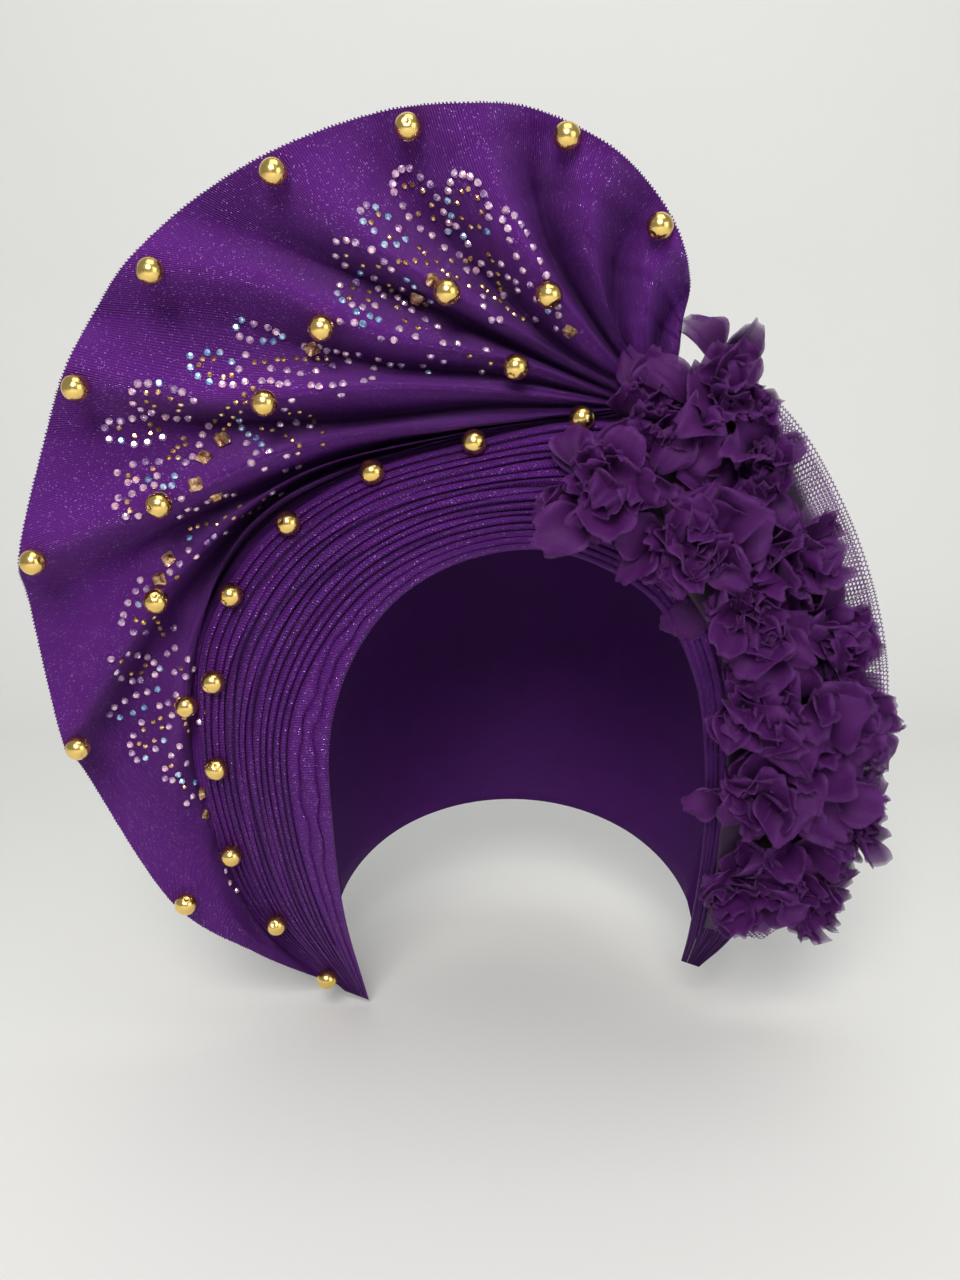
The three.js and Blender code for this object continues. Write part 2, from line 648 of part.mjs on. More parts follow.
const cloth = [fanGeometry, bandGeometry].map(solidOf);
const clothAndNet = [...cloth, solidOf(netGeometry)];
const clothTriangles = [fanGeometry, bandGeometry].flatMap(trianglesOf);
const unpiercedNet = tulleNet(() => false);
const carrierTriangles = [...clothTriangles, ...trianglesOf(unpiercedNet)];

FLOWERS.forEach(({ at, radius, right, up }, number) => {
  addSeated(numbered('flower', number), flowerGeometry(radius, number * FLOWER_SPIN), chiffon, {
    at, faces: facing(right, up), cloth: clothAndNet, touching: sightOn(at, carrierTriangles).point.y,
  });
});

for (const [row, places] of Object.entries(BEADS)) {
  places.forEach((at, number) => {
    const ball = new THREE.SphereGeometry(BEAD_RADIUS, BEAD_SIDES, BEAD_RINGS);
    addSeated(numbered(`bead_${row}`, number), ball, gold, {
      at, faces: UP, cloth, touching: sightOn(at, clothTriangles).point.y,
    });
  });
}

SQUARE_STONES.forEach(({ at, turn }, number) => {
  const { point, triangle } = sightOn(at, clothTriangles);
  addSeated(numbered('square_stone', number), squareStoneGeometry(), cutGlass, {
    at, faces: triangle.getNormal(new THREE.Vector3()), spin: THREE.MathUtils.degToRad(turn), cloth, touching: point.y,
  });
});

export default gele;
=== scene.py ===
# %% [markdown]
# # A ready-tied gele
# A gele is a head tie. This one is tied once and for all: stiff ribbed cloth is pressed into a
# tall fan and a pleated band, and sewn on a cap. Chiffon flowers, gold beads and cut stones
# trim it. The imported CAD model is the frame. It says where each piece is, and this lesson puts
# a finer surface with a real finish over each of them.

import bmesh
import bpy
import numpy as np
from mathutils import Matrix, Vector
from mathutils.bvhtree import BVHTree


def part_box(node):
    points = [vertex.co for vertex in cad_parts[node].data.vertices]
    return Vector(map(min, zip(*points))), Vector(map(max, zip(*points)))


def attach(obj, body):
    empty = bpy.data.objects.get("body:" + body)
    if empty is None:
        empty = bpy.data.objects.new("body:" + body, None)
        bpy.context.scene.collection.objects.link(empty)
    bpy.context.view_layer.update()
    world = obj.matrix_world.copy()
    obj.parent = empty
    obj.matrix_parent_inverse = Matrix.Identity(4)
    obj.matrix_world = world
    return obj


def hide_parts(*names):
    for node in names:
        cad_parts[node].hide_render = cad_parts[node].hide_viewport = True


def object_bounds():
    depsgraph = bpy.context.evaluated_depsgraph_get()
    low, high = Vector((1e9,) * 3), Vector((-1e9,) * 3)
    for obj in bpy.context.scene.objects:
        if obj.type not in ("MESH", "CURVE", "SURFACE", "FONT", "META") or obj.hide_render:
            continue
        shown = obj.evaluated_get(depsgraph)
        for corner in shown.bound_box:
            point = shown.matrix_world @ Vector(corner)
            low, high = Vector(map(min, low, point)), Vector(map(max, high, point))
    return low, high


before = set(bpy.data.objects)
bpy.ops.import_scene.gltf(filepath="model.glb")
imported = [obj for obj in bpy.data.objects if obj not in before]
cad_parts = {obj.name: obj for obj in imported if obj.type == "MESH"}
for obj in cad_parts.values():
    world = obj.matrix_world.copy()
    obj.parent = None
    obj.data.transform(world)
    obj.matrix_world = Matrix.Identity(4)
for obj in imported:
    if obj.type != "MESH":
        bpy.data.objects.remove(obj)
cad_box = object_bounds()
print("CAD box:", cad_box)

# %% [markdown]
# ## Where things are seen
# The folds were measured as someone in front of the face sees them: across and up on a plane
# that faces the viewer, and deep along Y. One function turns that into a place in space, in
# metres, by following the line of sight to that depth.

# %% Line of sight
MM = 0.001
VIEW_DISTANCE = 420.0
VIEW_TILT = np.radians(12)
VIEW_AXIS = np.array([0, np.cos(VIEW_TILT), -np.sin(VIEW_TILT)])
VIEW_UP = np.array([0, np.sin(VIEW_TILT), np.cos(VIEW_TILT)])
VIEWER = np.array([-13.0, -45, -56]) - VIEW_DISTANCE * VIEW_AXIS


def place_seen(seen):
    """Viewer plus the ray through (across, up), stretched until its Y is deep."""
    seen = np.asarray(seen, float)
    ray = VIEW_DISTANCE * VIEW_AXIS + seen[..., 1:2] * VIEW_UP + seen[..., 0:1] * [1, 0, 0]
    return (VIEWER + ray * (seen[..., 2:3] - VIEWER[1]) / ray[..., 1:2]) * MM


print("viewer, in metres:", VIEWER * MM)

# %% [markdown]
# ## Camera
# The camera stands where the photographer stood: a little above the crown, 42 cm away, and
# tipped down 12 degrees. Its lens is worked out from the size of one millimetre in the 960 by
# 1280 frame, which is 3 pixels on the plane above.

# %% Camera
PIXELS_PER_MM = 3.0
FRAME_PIXELS = (960, 1280)
SENSOR_MM = 36.0


def linked(name, data):
    """A new object with this data, in the scene."""
    made = bpy.data.objects.new(name, data)
    bpy.context.scene.collection.objects.link(made)
    return made


camera_data = bpy.data.cameras.new("camera")
camera_data.sensor_fit = "VERTICAL"
camera_data.sensor_height = SENSOR_MM
camera_data.lens = SENSOR_MM * VIEW_DISTANCE * PIXELS_PER_MM / FRAME_PIXELS[1]
camera_data.clip_start = 0.01
camera = linked("camera", camera_data)
camera.location = VIEWER * MM
camera.rotation_euler = (np.pi / 2 - VIEW_TILT, 0, 0)
bpy.context.scene.camera = camera
print("lens:", round(camera_data.lens, 2), "mm")

# %% [markdown]
# ## Smooth curves through a few places
# Cloth bends smoothly from one fold to the next, so each table below holds only the places
# that matter, and a Catmull-Rom curve passes through all of them. The same function works on
# single points and on whole rows of points.


# %% Curve, steps and noise
def curve(points, at):
    """On each stretch, the cubic whose slope at a point is half the step between its neighbours."""
    points = np.asarray(points, float)
    padded = np.concatenate([2 * points[:1] - points[1:2], points, 2 * points[-1:] - points[-2:-1]])
    along = np.clip(at, 0, 1) * (len(points) - 1)
    first = np.minimum(along.astype(int), len(points) - 2)
    u = (along - first).reshape((-1,) + (1,) * (points.ndim - 1))
    a, b, c, d = (padded[first + n] for n in range(4))
    return b + 0.5 * u * (c - a + u * (2 * a - 5 * b + 4 * c - d + u * (3 * b - a - 3 * c + d)))


def smoothstep(x, start, end):
    """0 before start, 1 after end, and 3 t squared less 2 t cubed between them."""
    t = np.clip((x - start) / (end - start), 0, 1)
    return t * t * (3 - 2 * t)


def drift(x, y, seed):
    """A slow wander between about -1 and 1: the mean of four sine waves of unlike lengths."""
    turns = np.random.default_rng(seed).uniform(0, 2 * np.pi, 4)
    waves = [(1.0, 0.7), (-1.7, 1.3), (2.9, -2.1), (0.6, 3.7)]
    return sum(np.sin(a * x + b * y + t) for (a, b), t in zip(waves, turns)) / 2.6


print("half way from 0 to 1:", curve(np.array([[0.0], [1.0]]), np.array([0.5]))[0, 0])

# %% [markdown]
# ## A sheet as a mesh
# Every cloth piece here is a grid of points with a second grid behind it and walls round the
# edge, so it is a real thin solid. Its UV map is in millimetres along the cloth, and so the
# weave keeps its true size wherever the cloth goes.


# %% Sheet mesh
def mesh_object(name, points, faces, uv=None, smooth=True):
    """A mesh from points in metres, faces as rows of corners, and one UV place for each point."""
    triangles = faces[:, [0, 1, 2]]
    a, b, c = (points[triangles[:, n]] for n in range(3))
    volume = (a * np.cross(b, c)).sum()
    if faces.shape[1] == 4:
        a, b, c = (points[faces[:, n]] for n in (0, 2, 3))
        volume += (a * np.cross(b, c)).sum()
    if volume < 0:
        faces = faces[:, ::-1]
    mesh = bpy.data.meshes.new(name)
    mesh.from_pydata(points.tolist(), [], faces.tolist())
    if uv is not None:
        layer = mesh.uv_layers.new(name="cloth")
        layer.data.foreach_set("uv", uv[faces.ravel()].astype(np.float32).ravel())
    mesh.polygons.foreach_set("use_smooth", np.full(len(faces), smooth))
    mesh.validate()
    made = linked(name, mesh)
    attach(made, "root")
    return made


def grid_cells(index):
    """The four corners of each cell in a grid of point numbers."""
    corners = [index[:-1, :-1], index[1:, :-1], index[1:, 1:], index[:-1, 1:]]
    return np.stack(corners, -1).reshape(-1, 4)


def repeated(faces, size, copies):
    """The same faces for each copy of a piece that has size points."""
    return (faces + size * np.arange(copies)[:, None, None]).reshape(-1, faces.shape[1])


def sheet_faces(rows, columns, is_round=False):
    """Front cells, back cells the other way round, and a wall along each open edge."""
    count = rows * columns
    front = np.arange(count).reshape(rows, columns)
    if is_round:
        front = np.vstack([front, front[:1]])
    cell = grid_cells(front)
    if is_round:
        edges = [
            np.stack([front[:-1, 0], front[1:, 0]], -1),
            np.stack([front[1:, -1], front[:-1, -1]], -1),
        ]
    else:
        rim = np.concatenate([front[:, 0], front[-1, 1:], front[-2::-1, -1], front[0, -2:0:-1]])
        edges = [np.stack([rim, np.roll(rim, -1)], -1)]
    edge = np.concatenate(edges)
    walls = np.stack([edge[:, 1], edge[:, 0], edge[:, 0] + count, edge[:, 1] + count], -1)
    return np.concatenate([cell, cell[:, ::-1] + count, walls])


def sheet_object(name, front, back, uv, is_round=False):
    """One closed sheet from a front and a back grid that share their UV places."""
    rows, columns = front.shape[:2]
    points = np.concatenate([front.reshape(-1, 3), back.reshape(-1, 3)])
    flat_uv = np.tile(uv.reshape(-1, 2), (2, 1))
    return mesh_object(name, points, sheet_faces(rows, columns, is_round), flat_uv)


def mark_crease_shade(piece, depth):
    """Stores how deep in a fold each point of a sheet lies, 0 on a ridge and 1 in a valley, for painted
    shade in the folds.
    """
    layer = piece.data.attributes.new("crease", "FLOAT", "POINT")
    layer.data.foreach_set("value", np.tile(np.clip(depth, 0, 1).ravel(), 2).astype(np.float32))


def lengths_along(grid, axis):
    """How far each point is along its line, in millimetres: the running sum of the steps."""
    step = np.linalg.norm(np.diff(grid, axis=axis), axis=-1) / MM
    start = np.zeros_like(np.take(step, [0], axis))
    return np.concatenate([start, np.cumsum(step, axis=axis)], axis)


def cloth_uv(grid):
    """UV places in millimetres: how far each point is down its column and along its row."""
    return np.stack([lengths_along(grid, 0), lengths_along(grid, 1)], -1)


def declare_cloth(front):
    """Measures the diagonals of the cells and the longest line of the grid; no strip is made from them."""
    diagonals = front[1:, 1:] - front[:-1, :-1], front[1:, :-1] - front[:-1, 1:]
    long = max(float(lengths_along(front, axis).max()) for axis in (0, 1)) * MM


print("faces of a sheet of 3 by 3 points:", len(sheet_faces(3, 3)))

# %% [markdown]
# ## Shader arithmetic
# A pattern such as a weave is easier to read as a formula than as a drawing of nodes. Number
# wraps one socket, and + - * / on it add Math nodes. Finish makes any other node from its type,
# its settings and its sockets.


# %% Finish and Number
class Finish:
    """A material in the making. node() adds a node; number() and math() give Numbers."""

    def __init__(self, name):
        self.material = bpy.data.materials.new(name)
        self.material.use_nodes = True
        self.tree = self.material.node_tree
        self.tree.nodes.clear()
        self.output = self.node("OutputMaterial")

    def node(self, kind, settings=None, sockets=None):
        made = self.tree.nodes.new("ShaderNode" + kind)
        for key, value in (settings or {}).items():
            if key == "stops":
                ramp = made.color_ramp
                while len(ramp.elements) < len(value):
                    ramp.elements.new(0.5)
                for element, (place, colour) in zip(ramp.elements, value):
                    element.position = place
                    element.color = (*colour, 1)
            else:
                setattr(made, key, value)
        for key, value in (sockets or {}).items():
            value = getattr(value, "socket", value)
            if isinstance(value, bpy.types.NodeSocket):
                self.tree.links.new(value, made.inputs[key])
            else:
                made.inputs[key].default_value = value
        return made

    def number(self, socket):
        return Number(self, socket)

    def math(self, operation, *terms):
        made = self.node("Math", {"operation": operation}, dict(enumerate(terms)))
        return Number(self, made.outputs[0])

    def place(self):
        return self.node("TexCoord").outputs["Object"]

    def along_cloth(self):
        """The two UV numbers of the cloth, in millimetres."""
        apart = self.node("SeparateXYZ", None, {0: self.node("UVMap", {"uv_map": "cloth"}).outputs[0]})
        return self.number(apart.outputs[0]), self.number(apart.outputs[1])

    def crease(self):
        """How deep in a fold the point lies, from 0 to 1, for painted shade; 0 on a piece without that
        mark.
        """
        return self.number(self.node("Attribute", {"attribute_name": "crease"}).outputs["Fac"])

    def noise(self, scale, detail=2.0, roughness=0.5):
        sockets = {"Vector": self.place(), "Scale": scale, "Detail": detail, "Roughness": roughness}
        return self.number(self.node("TexNoise", None, sockets).outputs[0])

    def speck(self, scale):
        """A random number for each cell of a fine Voronoi pattern."""
        made = self.node("TexVoronoi", None, {"Vector": self.place(), "Scale": scale})
        return self.number(self.node("SeparateColor", None, {0: made.outputs["Color"]}).outputs[0])

    def mix(self, factor, first, second):
        """The first colour where factor is 0, the second where it is 1."""
        return self.node("Mix", {"data_type": "RGBA"}, {0: factor, 6: first, 7: second}).outputs[2]

    def bump(self, height, distance, strength=1.0):
        sockets = {"Height": height, "Distance": distance, "Strength": strength}
        return self.node("Bump", None, sockets).outputs[0]

    def finished(self, **sockets):
        """Ends in a Principled shader. Underscores in the names stand for spaces."""
        named = {key.replace("_", " "): value for key, value in sockets.items()}
        shader = self.node("BsdfPrincipled", None, named)
        self.tree.links.new(shader.outputs[0], self.output.inputs[0])
        return self.material


class Number:
    """One number socket. Arithmetic on it adds Math nodes."""

    def __init__(self, finish, socket):
        self.finish = finish
        self.socket = socket

    def __add__(self, other):
        return self.finish.math("ADD", self, other)

    def __radd__(self, other):
        return self.finish.math("ADD", other, self)

    def __sub__(self, other):
        return self.finish.math("SUBTRACT", self, other)

    def __rsub__(self, other):
        return self.finish.math("SUBTRACT", other, self)

    def __mul__(self, other):
        return self.finish.math("MULTIPLY", self, other)

    def __rmul__(self, other):
        return self.finish.math("MULTIPLY", other, self)

    def __truediv__(self, other):
        return self.finish.math("DIVIDE", self, other)

    def __rtruediv__(self, other):
        return self.finish.math("DIVIDE", other, self)

    def sine(self):
        return self.finish.math("SINE", self)

    def wave(self, pitch):
        """From 0 to 1 and back once in each pitch."""
        return (self * (2 * np.pi / pitch)).sine() * 0.5 + 0.5

    def above(self, level):
        return self.finish.math("GREATER_THAN", self, level)

    def fade(self, start, end):
        """0 at start and 1 at end, smooth between them."""
        settings = {"interpolation_type": "SMOOTHSTEP"}
        made = self.finish.node("MapRange", settings, {0: self, 1: start, 2: end})
        return Number(self.finish, made.outputs[0])


def wear(piece, material):
    """Gives a piece its material."""
    piece.data.materials.clear()
    piece.data.materials.append(material)


print("finishes are made of nodes by name")

# %% [markdown]
# ## Ribbed cloth
# The cloth is stiff and has fine raised ribs, about 0.8 mm apart, that run across the folds.
# A metallic thread in it gives pinpoint glints, and on those specks a paler colour is also
# painted as a glint. Ribs too fine for a mesh are a bump: a wave along one UV direction, broken
# up by a finer wave for the thread that is twisted in each rib. The same waves paint light on
# the rib tops and shade between them. Little light reaches the bottom of a fold, so the colour
# is darkened with the depth marked there, as painted shade.


# %% Ribbed cloth
GLINT_LEVEL = 0.955


def ribbed_cloth(name, shade_and_dark_dye_colour, lit_colour, rib_pitch):
    """Rib height is a sine of the UV and also paints light on the rib tops; glints are the Voronoi cells
    with the highest numbers, painted paler.
    """
    finish = Finish(name)
    u, v = finish.along_cloth()
    wander = finish.noise(60.0, 3.0)
    rib = (u + wander * 0.5).wave(rib_pitch)
    twist = (v + u * 0.5).wave(rib_pitch * 0.62)
    height = rib + twist * 0.35
    cloudy = finish.noise(26.0, 3.0, 0.6)
    glint = finish.speck(2900.0).above(GLINT_LEVEL)
    faint = finish.speck(1300.0)
    # Painted light and shade: rib and thread tops take the lit colour and the hollows between them the
    # shaded one; the noises are the cloth's own unevenness.
    shade = rib * 0.55 + twist * 0.15 + cloudy * 0.35 + faint * 0.12 - 0.1
    colour = finish.mix(shade, (*shade_and_dark_dye_colour, 1), (*lit_colour, 1))
    # Painted glint: the glint specks take a paler colour, besides the more metallic and smoother finish of
    # the thread set below.
    bright = tuple(1.5 * c + 0.16 for c in lit_colour)
    colour = finish.mix(glint * 0.75, colour, (*bright, 1))
    # Painted shade in the folds: the colour darkens towards about a third of the shaded colour with the
    # depth there.
    colour = finish.mix(finish.crease() * 0.8, colour, (*[0.35 * c for c in shade_and_dark_dye_colour], 1))
    return finish.finished(
        Base_Color=colour,
        Roughness=0.58 - rib * 0.1 - glint * 0.3,
        Metallic=0.08 + glint * 0.5,
        Specular_IOR_Level=0.2,
        Sheen_Weight=0.12,
        Sheen_Roughness=0.4,
        Sheen_Tint=(0.6, 0.2, 0.9, 1),
        Normal=finish.bump(height, 0.00028, 1.0),
    )


fan_cloth = ribbed_cloth("fan_cloth", (0.044, 0.003, 0.088), (0.150, 0.014, 0.280), 0.85)
band_cloth = ribbed_cloth("band_cloth", (0.020, 0.001, 0.046), (0.120, 0.008, 0.225), 1.15)
roll_cloth = ribbed_cloth("roll_cloth", (0.032, 0.002, 0.070), (0.116, 0.007, 0.212), 1.0)
print("ribbed finishes:", fan_cloth.name, band_cloth.name, roll_cloth.name)

# %% [markdown]
# ## The band's two edges
# The pleated band and the rolls at the face share one base surface, drawn between two edges:
# the face opening and the outer edge in front of the fan. The table has a row for each station
# round the face, in millimetres as seen, with the width of the rolls.

# %% Band table
STATIONS = np.array([
    # inner edge      outer edge       rolls
    [-37, -120, 12, -45, -117, 14, 2],
    [-45, -92, -18, -75, -91, -4, 8],
    [-49, -62, -44, -89, -59, -28, 13],
    [-50, -33, -53, -94, -27, -40, 14],
    [-43, -8, -57, -91, 3, -46, 12],
    [-28, 13, -61, -73, 33, -51, 10],
    [-6, 26, -64, -43, 54, -54, 8.5],
    [20, 30, -64, -3, 66, -56, 8],
    [43, 23, -63, 37, 73, -56, 8],
    [61, 9, -61, 81, 65, -52, 8],
    [72, -15, -56, 109, 31, -44, 7],
    [75, -43, -50, 119, -20, -36, 5],
    [74, -70, -36, 107, -70, -22, 3.5],
    [70, -95, -14, 85, -98, -4, 3],
    [67, -107, 3, 73, -109, 5, 2],
])
BAND_BULGE = 7.0
BAND_WALL = 2.6
PLEAT_WALL = 0.8
PIECE_GAP = 0.4
LAST_STATION = len(STATIONS) - 1


def band_edges(along):
    """Inner edge, outer edge, the seen width between them and the rolls' width, at each place."""
    row = curve(STATIONS, along)
    inner, outer, rolls = row[:, 0:3], row[:, 3:6], row[:, 6]
    return inner, outer, np.hypot(*(outer - inner)[:, :2].T), rolls


def band_seen(along, share):
    """Between the edges by share, and pushed forward by a bulge that is 0 at both edges."""
    inner, outer, _, _ = band_edges(along)
    seen = inner[:, None] + (outer - inner)[:, None] * share[..., None]
    seen[..., 2] -= BAND_BULGE * np.sin(np.pi * along)[:, None] * 4 * share * (1 - share)
    return seen


BAND_ALONG = np.linspace(0, 1, 300)
_, _, band_width, rolls_width = band_edges(BAND_ALONG)
face_share = rolls_width / band_width
print("band width, mm:", band_width.min().round(1), "to", band_width.max().round(1))

# %% [markdown]
# ## Pleated band
# Thirteen narrow pleats lie side by side like cords. Each is a half round: its height is the
# square root of 1 less the square of the distance from its crest. Pressed by hand, no two are
# alike, so their widths and heights wander a little along the band. One function makes the
# sheet, here and for the rolls: the front rises by the height of the pleats from a smooth back.

# %% Pleated band
PLEATS = 13
PLEAT_HEIGHT = 2.5
STEPS_PER_PLEAT = 8


def rounded(across, wave=0.0):
    """Half-round cords: the root of 1 less the square of the place across each one."""
    within = (across + wave) % 1.0 * 2 - 1
    return np.sqrt(np.clip(1 - within**2, 0, 1))


def pressed_sheet(name, seen, lift, finish, node):
    """The front is seen less its lift in depth, and the back lies PLEAT_WALL behind seen."""
    front_seen, back_seen = seen.copy(), seen.copy()
    front_seen[..., 2] -= lift
    back_seen[..., 2] += PLEAT_WALL
    front, back = place_seen(front_seen), place_seen(back_seen)
    piece = sheet_object(name, front, back, cloth_uv(front))
    wear(piece, finish)
    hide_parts(node)
    declare_cloth(front)
    return piece


across = np.linspace(0, 1, PLEATS * STEPS_PER_PLEAT + 1)
start = face_share + 0.05 / band_width
share = start[:, None] + (1 - start)[:, None] * across
pleat = share * 0 + across * PLEATS
bend = 0.24 * drift(BAND_ALONG[:, None] * 22, across * 30, 3) * np.sin(np.pi * across)
crest = rounded(pleat) * (1 + 0.22 * drift(BAND_ALONG[:, None] * 30, np.floor(pleat) * 2.1, 5))
seen = band_seen(BAND_ALONG, share + bend * (1 - start)[:, None] / PLEATS)
height = PLEAT_HEIGHT * crest
pleated_band = pressed_sheet(
    "pleated_band_cloth", seen, height, band_cloth, "pleated_band"
)
# Painted shade between the pleats: darkest in the valleys between crests, with a slow wander.
mark_crease_shade(pleated_band, 1.2 * (1 - crest) + 0.15 * drift(BAND_ALONG[:, None] * 12, pleat, 9))
print("pleated band:", len(pleated_band.data.polygons), "faces")

# %% [markdown]
# ## Rolls at the face
# The cloth ends in soft rolls round the face. At the left they are broad and wavy, because the
# cloth there is loose, and they grow thin and even over the forehead and down the right.

# %% Face band
ROLLS = 3
roll_across = np.linspace(0, 1, ROLLS * 14 + 1)
loose = smoothstep(rolls_width, 7, 13)
roll_share = face_share[:, None] * roll_across
roll = roll_across * ROLLS + 0 * roll_share
sway = loose[:, None] * 0.28 * drift(BAND_ALONG[:, None] * 60, roll * 1.1, 11)
sway = sway * np.sin(np.pi * roll_across)
seen = band_seen(BAND_ALONG, roll_share + sway * face_share[:, None] / ROLLS)
lift = (1.5 + 0.9 * loose)[:, None] * rounded(roll)
lift = lift * (1 + 0.25 * drift(BAND_ALONG[:, None] * 45, np.floor(roll) * 3.0, 17))
face_band = pressed_sheet("face_rolls_cloth", seen, lift, roll_cloth, "face_band")
print("face rolls:", len(face_band.data.polygons), "faces")

# %% [markdown]
# ## Fan
# The fan is one wide strip, gathered at a knot at the right and opened out to the left. Each
# row of the table is a ridge or a valley: five places from the knot to the rim, how far it
# rises, and how deep the cloth lies at the middle and at the rim. The surface is a curve
# through the five places of each row, and then a curve across all the rows.

# %% Fan tables
FOLDS = np.array([
    # knot      near         middle      far          rim        rise  middle, rim deep
    [64, 86, 65, 89, 66, 93, 66, 96, 66, 99, 0, -50, -48],
    [62, 86, 64, 92, 66, 98, 67, 103, 68, 108, 3, -54, -56],
    [60, 85, 59, 94, 60, 103, 64, 111, 70, 119, -4, -56, -62],
    [59, 84, 55, 97, 55, 111, 58, 124, 67, 134, 6, -60, -70],
    [58, 83, 47, 98, 44, 115, 47, 133, 58, 150, -7, -62, -74],
    [57, 83, 45, 105, 37, 128, 36, 147, 43, 165, 8, -64, -77],
    [55, 83, 38, 105, 24, 129, 18, 153, 18, 177, -8, -66, -79],
    [54, 82, 34, 104, 17, 128, 3, 153, -5, 179, 8, -67, -80],
    [53, 82, 25, 98, -1, 124, -22, 149, -33, 176, -8, -68, -81],
    [51, 81, 21, 98, -13, 117, -46, 139, -67, 164, 8, -68, -81],
    [50, 80, 15, 96, -21, 113, -59, 129, -95, 147, -7, -68, -80],
    [49, 79, 11, 93, -32, 102, -74, 120, -117, 127, 7, -68, -79],
    [49, 79, 7, 88, -36, 92, -81, 105, -128, 110, -7, -67, -78],
    [48, 78, 3, 83, -43, 84, -89, 81, -138, 91, 8, -66, -76],
    [48, 77.6, 1, 78, -45, 73, -92, 73, -144.5, 69, -8, -64, -75],
    [47.3, 77.2, -3.3, 71.7, -51, 67, -100, 49, -153.5, 29, 9, -62, -74],
    [46.7, 76.7, -6, 69.7, -50, 59, -103, 38, -150, 12, -8, -58, -70],
    [48.6, 76.6, -11.3, 67.8, -63, 54, -101, 22, -139, -34, 8, -56, -54],
    [49, 76.1, -14, 66.7, -63, 51, -104, 11, -132, -43, -6, -52, -46],
    [49.4, 75.5, -18.3, 65, -78, 37, -98, -22, -103, -87, 7, -50, -26],
    [49.8, 74.6, -20.7, 63.7, -76.7, 35.3, -96.3, -22.3, -75, -104, 0, -47, -12],
])
SEWN = np.array([
    # station, outside and inside of the band's edge
    [9.1, 1.4, -4],
    [6.55, 1.4, -4],
    [4.95, 2, -4],
    [3.15, 2.6, -4],
    [0.1, 3.4, -2],
])
KNOT_DEEP = -54.0
FAN_STEPS_PER_FOLD = 11
FAN_STEPS_OUT = 84
FAN_WALL = 1.3
NOTCH_DEPTH = 3.6
GATHER_HEIGHT = 0.6
print("folds:", len(FOLDS))


# %% Fan surface
def fan_lines(out):
    """Depth is the parabola through the knot, middle and rim depths, less the fold's rise."""
    places = FOLDS[:, :10].reshape(-1, 5, 2).transpose(1, 0, 2)
    seen = curve(places, out)
    rise, middle, rim = FOLDS[:, 10], FOLDS[:, 11], FOLDS[:, 12]
    o = out[:, None]
    parabola = 2 * (0.5 - o) * (1 - o) * KNOT_DEEP + 4 * o * (1 - o) * middle
    parabola = parabola + 2 * o * (o - 0.5) * rim
    height = 0.2 + 0.8 * smoothstep(o, 0, 0.5) - 0.35 * smoothstep(o, 0.6, 1)
    height = height * (1 + 0.12 * np.sin(np.pi * o) ** 2)
    folds = np.concatenate([seen, (parabola - rise * height)[..., None]], -1)
    rows = curve(SEWN, out)
    inner, edge, width, _ = band_edges(rows[:, 0] / LAST_STATION)
    outwards = (edge - inner) / width[:, None]
    sewn = [edge + outwards * rows[:, n:n + 1] + [0, 0, BAND_WALL] for n in (1, 2)]
    return np.concatenate([folds, np.stack(sewn, 1)], 1)


def tucked(seen, front_of_band):
    """Near the band the fan keeps behind it; that hold slackens by 3 mm of depth in each mm."""
    held = seen.copy()
    for row in held:
        apart = np.hypot(row[:, None, 0] - front_of_band[:, 0], row[:, None, 1] - front_of_band[:, 1])
        needed = front_of_band[:, 2] + BAND_WALL + 2 * PIECE_GAP - 3.0 * np.maximum(apart - 1.2, 0)
        row[:, 2] = np.maximum(row[:, 2], needed.max(1))
    return held


steps_out = np.linspace(0, 1, FAN_STEPS_OUT + 1)
steps_out = 0.2 * steps_out + 0.8 * np.sin(np.pi * steps_out / 2)
lines = fan_lines(steps_out).transpose(1, 0, 2)
fold_place = np.linspace(0, len(lines) - 1, FAN_STEPS_PER_FOLD * (len(lines) - 1) + 1)
fan_shares = fold_place / (len(lines) - 1)
fan_seen = curve(lines, fan_shares)
share_grid = np.tile(np.linspace(0, 1, 33), (200, 1))
band_points = band_seen(np.linspace(0, 1, 200), share_grid).reshape(-1, 3)
fan_seen = tucked(fan_seen, band_points)
print("fan grid:", fan_seen.shape[:2])

# %% [markdown]
# The cloth is not perfectly even: small ripples run along each fold, and near the knot there
# are finer gathers. Valleys are the rows with even numbers, counted from 0. A narrow notch
# along each, deepest where the folds lie close together, keeps it sharp while ridges are round.

# %% Fan mesh
far = np.broadcast_to(steps_out, fan_seen.shape[:2])
round_it = np.broadcast_to(fan_shares[:, None], fan_seen.shape[:2])
ripple = 0.55 * drift(round_it * 55, far * 9, 23) + 0.3 * drift(round_it * 130, far * 16, 29)
gathers = np.sin(2 * np.pi * fold_place[:, None] * 1.5 + 2 * drift(round_it * 20, far * 3, 31))
from_valley = np.abs((fold_place[:, None] + 1) % 2 - 1)
notch = np.exp(-((from_valley / 0.3) ** 2)) * smoothstep(far, 0.03, 0.15)
notch = notch * (1 - 0.8 * smoothstep(far, 0.3, 0.8))
fan_seen[..., 2] += ripple * smoothstep(far, 0.25, 0.6) + NOTCH_DEPTH * notch
fan_seen[..., 2] -= GATHER_HEIGHT * gathers * smoothstep(far, 0.02, 0.15) * (1 - smoothstep(far, 0.3, 0.65))
front = place_seen(fan_seen)
back_seen = fan_seen.copy()
back_seen[..., 2] += FAN_WALL
back = place_seen(back_seen)
uv = cloth_uv(front)
uv[..., 0] = uv[:, -1:, 0]
fan = sheet_object("fan_cloth_sheet", front, back, uv)
